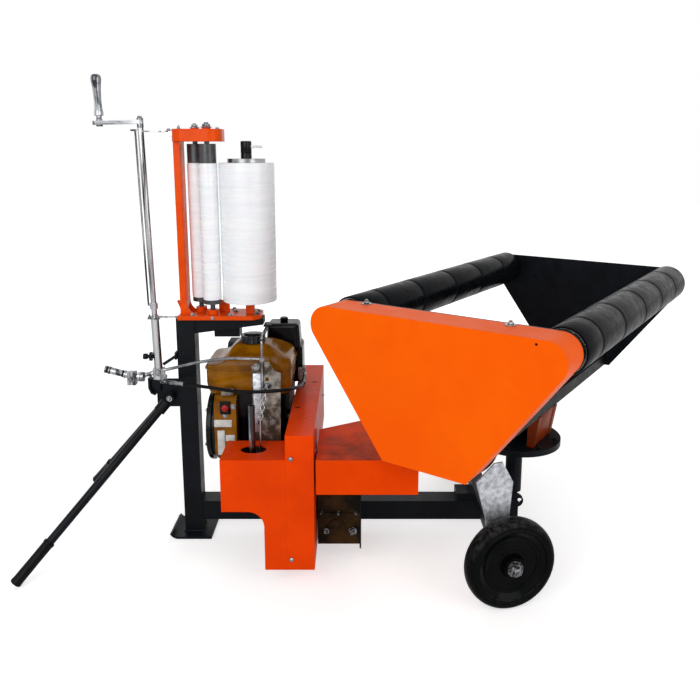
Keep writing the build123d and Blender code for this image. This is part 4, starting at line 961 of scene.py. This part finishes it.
# Weld beads of the frame: round the post's foot, at the rail, under the dispenser, along the column's base
postHalf, railHalf, weldRadius = 31, 35, 2.6
welds = []
for side in (-1, 1):
    post, rail = side * postHalf, side * railHalf
    welds += [
        [(-postHalf, post, 10), (-10, post + side * 0.5, 10.4), (10, post, 9.7), (postHalf, post, 10)],
        [(postHalf, rail, 56), (postHalf + 0.4, rail + side * 0.5, 90), (postHalf, rail, 121)],
        [(904, rail, 123), (960, rail + side * 0.6, 123.4), (1040, rail, 123), (1112, rail, 123)],
    ]
welds += [
    [(-postHalf, -postHalf, 10), (-postHalf - 0.4, 0, 10.3), (-postHalf, postHalf, 10)],
    [(postHalf, -postHalf, 713), (postHalf + 0.4, -postHalf - 0.3, 740), (postHalf, -postHalf, 760)],
]
bendRods("frameWelds", welds, weldRadius, frameBlack)
print("covers and frame done")

# Floor, lamps and world; the floor's width, the reach of its lift and the lamps' widths are metres

stage = {
    "floor": 30, "floorColour": "#F7F7F7", "floorRough": 0.9, "floorSpecular": 0.1,
    "lift": (0.49, 0.72), "liftFrom": (1.2, 5.0), "mirrorShare": 0.25, "worldLevel": 0.42, "aim": (700, 0, 600),
    "lamps": (
        ("keyLamp", (-1100, -4000, 2500), 86, 3.0), ("fillLamp", (3600, -3200, 1900), 44, 2.6),
        ("backLamp", (900, 4300, 2900), 48, 3.0),
    ),
}
shape = bmesh.new()
bmesh.ops.create_grid(shape, x_segments=1, y_segments=1, size=stage["floor"] / 2)
floorMesh = bpy.data.meshes.new("floor")
shape.to_mesh(floorMesh)
shape.free()
floor = addObject("floor", floorMesh)
floorPaint = bpy.data.materials.new("paleFloor")
floorPaint.use_nodes = True
tree = floorPaint.node_tree
matt = tree.nodes["Principled BSDF"]
matt.inputs["Base Color"].default_value = fromHex(stage["floorColour"])
matt.inputs["Roughness"].default_value = stage["floorRough"]
matt.inputs["Specular IOR Level"].default_value = stage["floorSpecular"]
# the floor is lifted to white for the camera and in part in reflections, and keeps the shadow
path = addNode(tree, "ShaderNodeLightPath")
mirrored = addMath(tree, "MULTIPLY", path.outputs["Is Glossy Ray"], stage["mirrorShare"])
seen = addMath(tree, "MAXIMUM", path.outputs["Is Camera Ray"], mirrored)
spot = addNode(tree, "ShaderNodeTexCoord").outputs["Object"]
distance = addNode(tree, "ShaderNodeVectorMath", {0: spot}, operation="LENGTH").outputs["Value"]
lift = addMath(tree, "MULTIPLY", seen, addRange(tree, distance, stage["liftFrom"], stage["lift"]))
glow = addNode(tree, "ShaderNodeEmission", {"Color": (1, 1, 1, 1), "Strength": lift}).outputs["Emission"]
both = addNode(tree, "ShaderNodeAddShader", {0: matt.outputs["BSDF"], 1: glow}).outputs["Shader"]
tree.links.new(both, tree.nodes["Material Output"].inputs["Surface"])
floorMesh.materials.append(floorPaint)

for name, place, power, size in stage["lamps"]:
    lampData = bpy.data.lights.new(name, "AREA")
    lampData.energy = power
    lampData.size = size
    lamp = addObject(name, lampData)
    lamp.location = mm(*place)
    lamp.visible_glossy = name != "backLamp"
    lamp.rotation_euler = (mm(*stage["aim"]) - lamp.location).to_track_quat("-Z", "Y").to_euler()

# the world is white where it is seen or mirrored, and dimmer as a lamp
world = bpy.data.worlds.new("studio")
bpy.context.scene.world = world
world.use_nodes = True
tree = world.node_tree
backdrop = tree.nodes["Background"]
backdrop.inputs["Color"].default_value = (1, 1, 1, 1)
path = addNode(tree, "ShaderNodeLightPath")
seen = addMath(tree, "MAXIMUM", path.outputs["Is Camera Ray"], path.outputs["Is Glossy Ray"])
seen = addMath(tree, "MAXIMUM", seen, path.outputs["Is Transmission Ray"])
level = addRange(tree, seen, (0, 1), (stage["worldLevel"], 1.0))
tree.links.new(level, backdrop.inputs["Strength"])
bpy.context.scene.view_settings.view_transform = "Standard"
print("stage done")
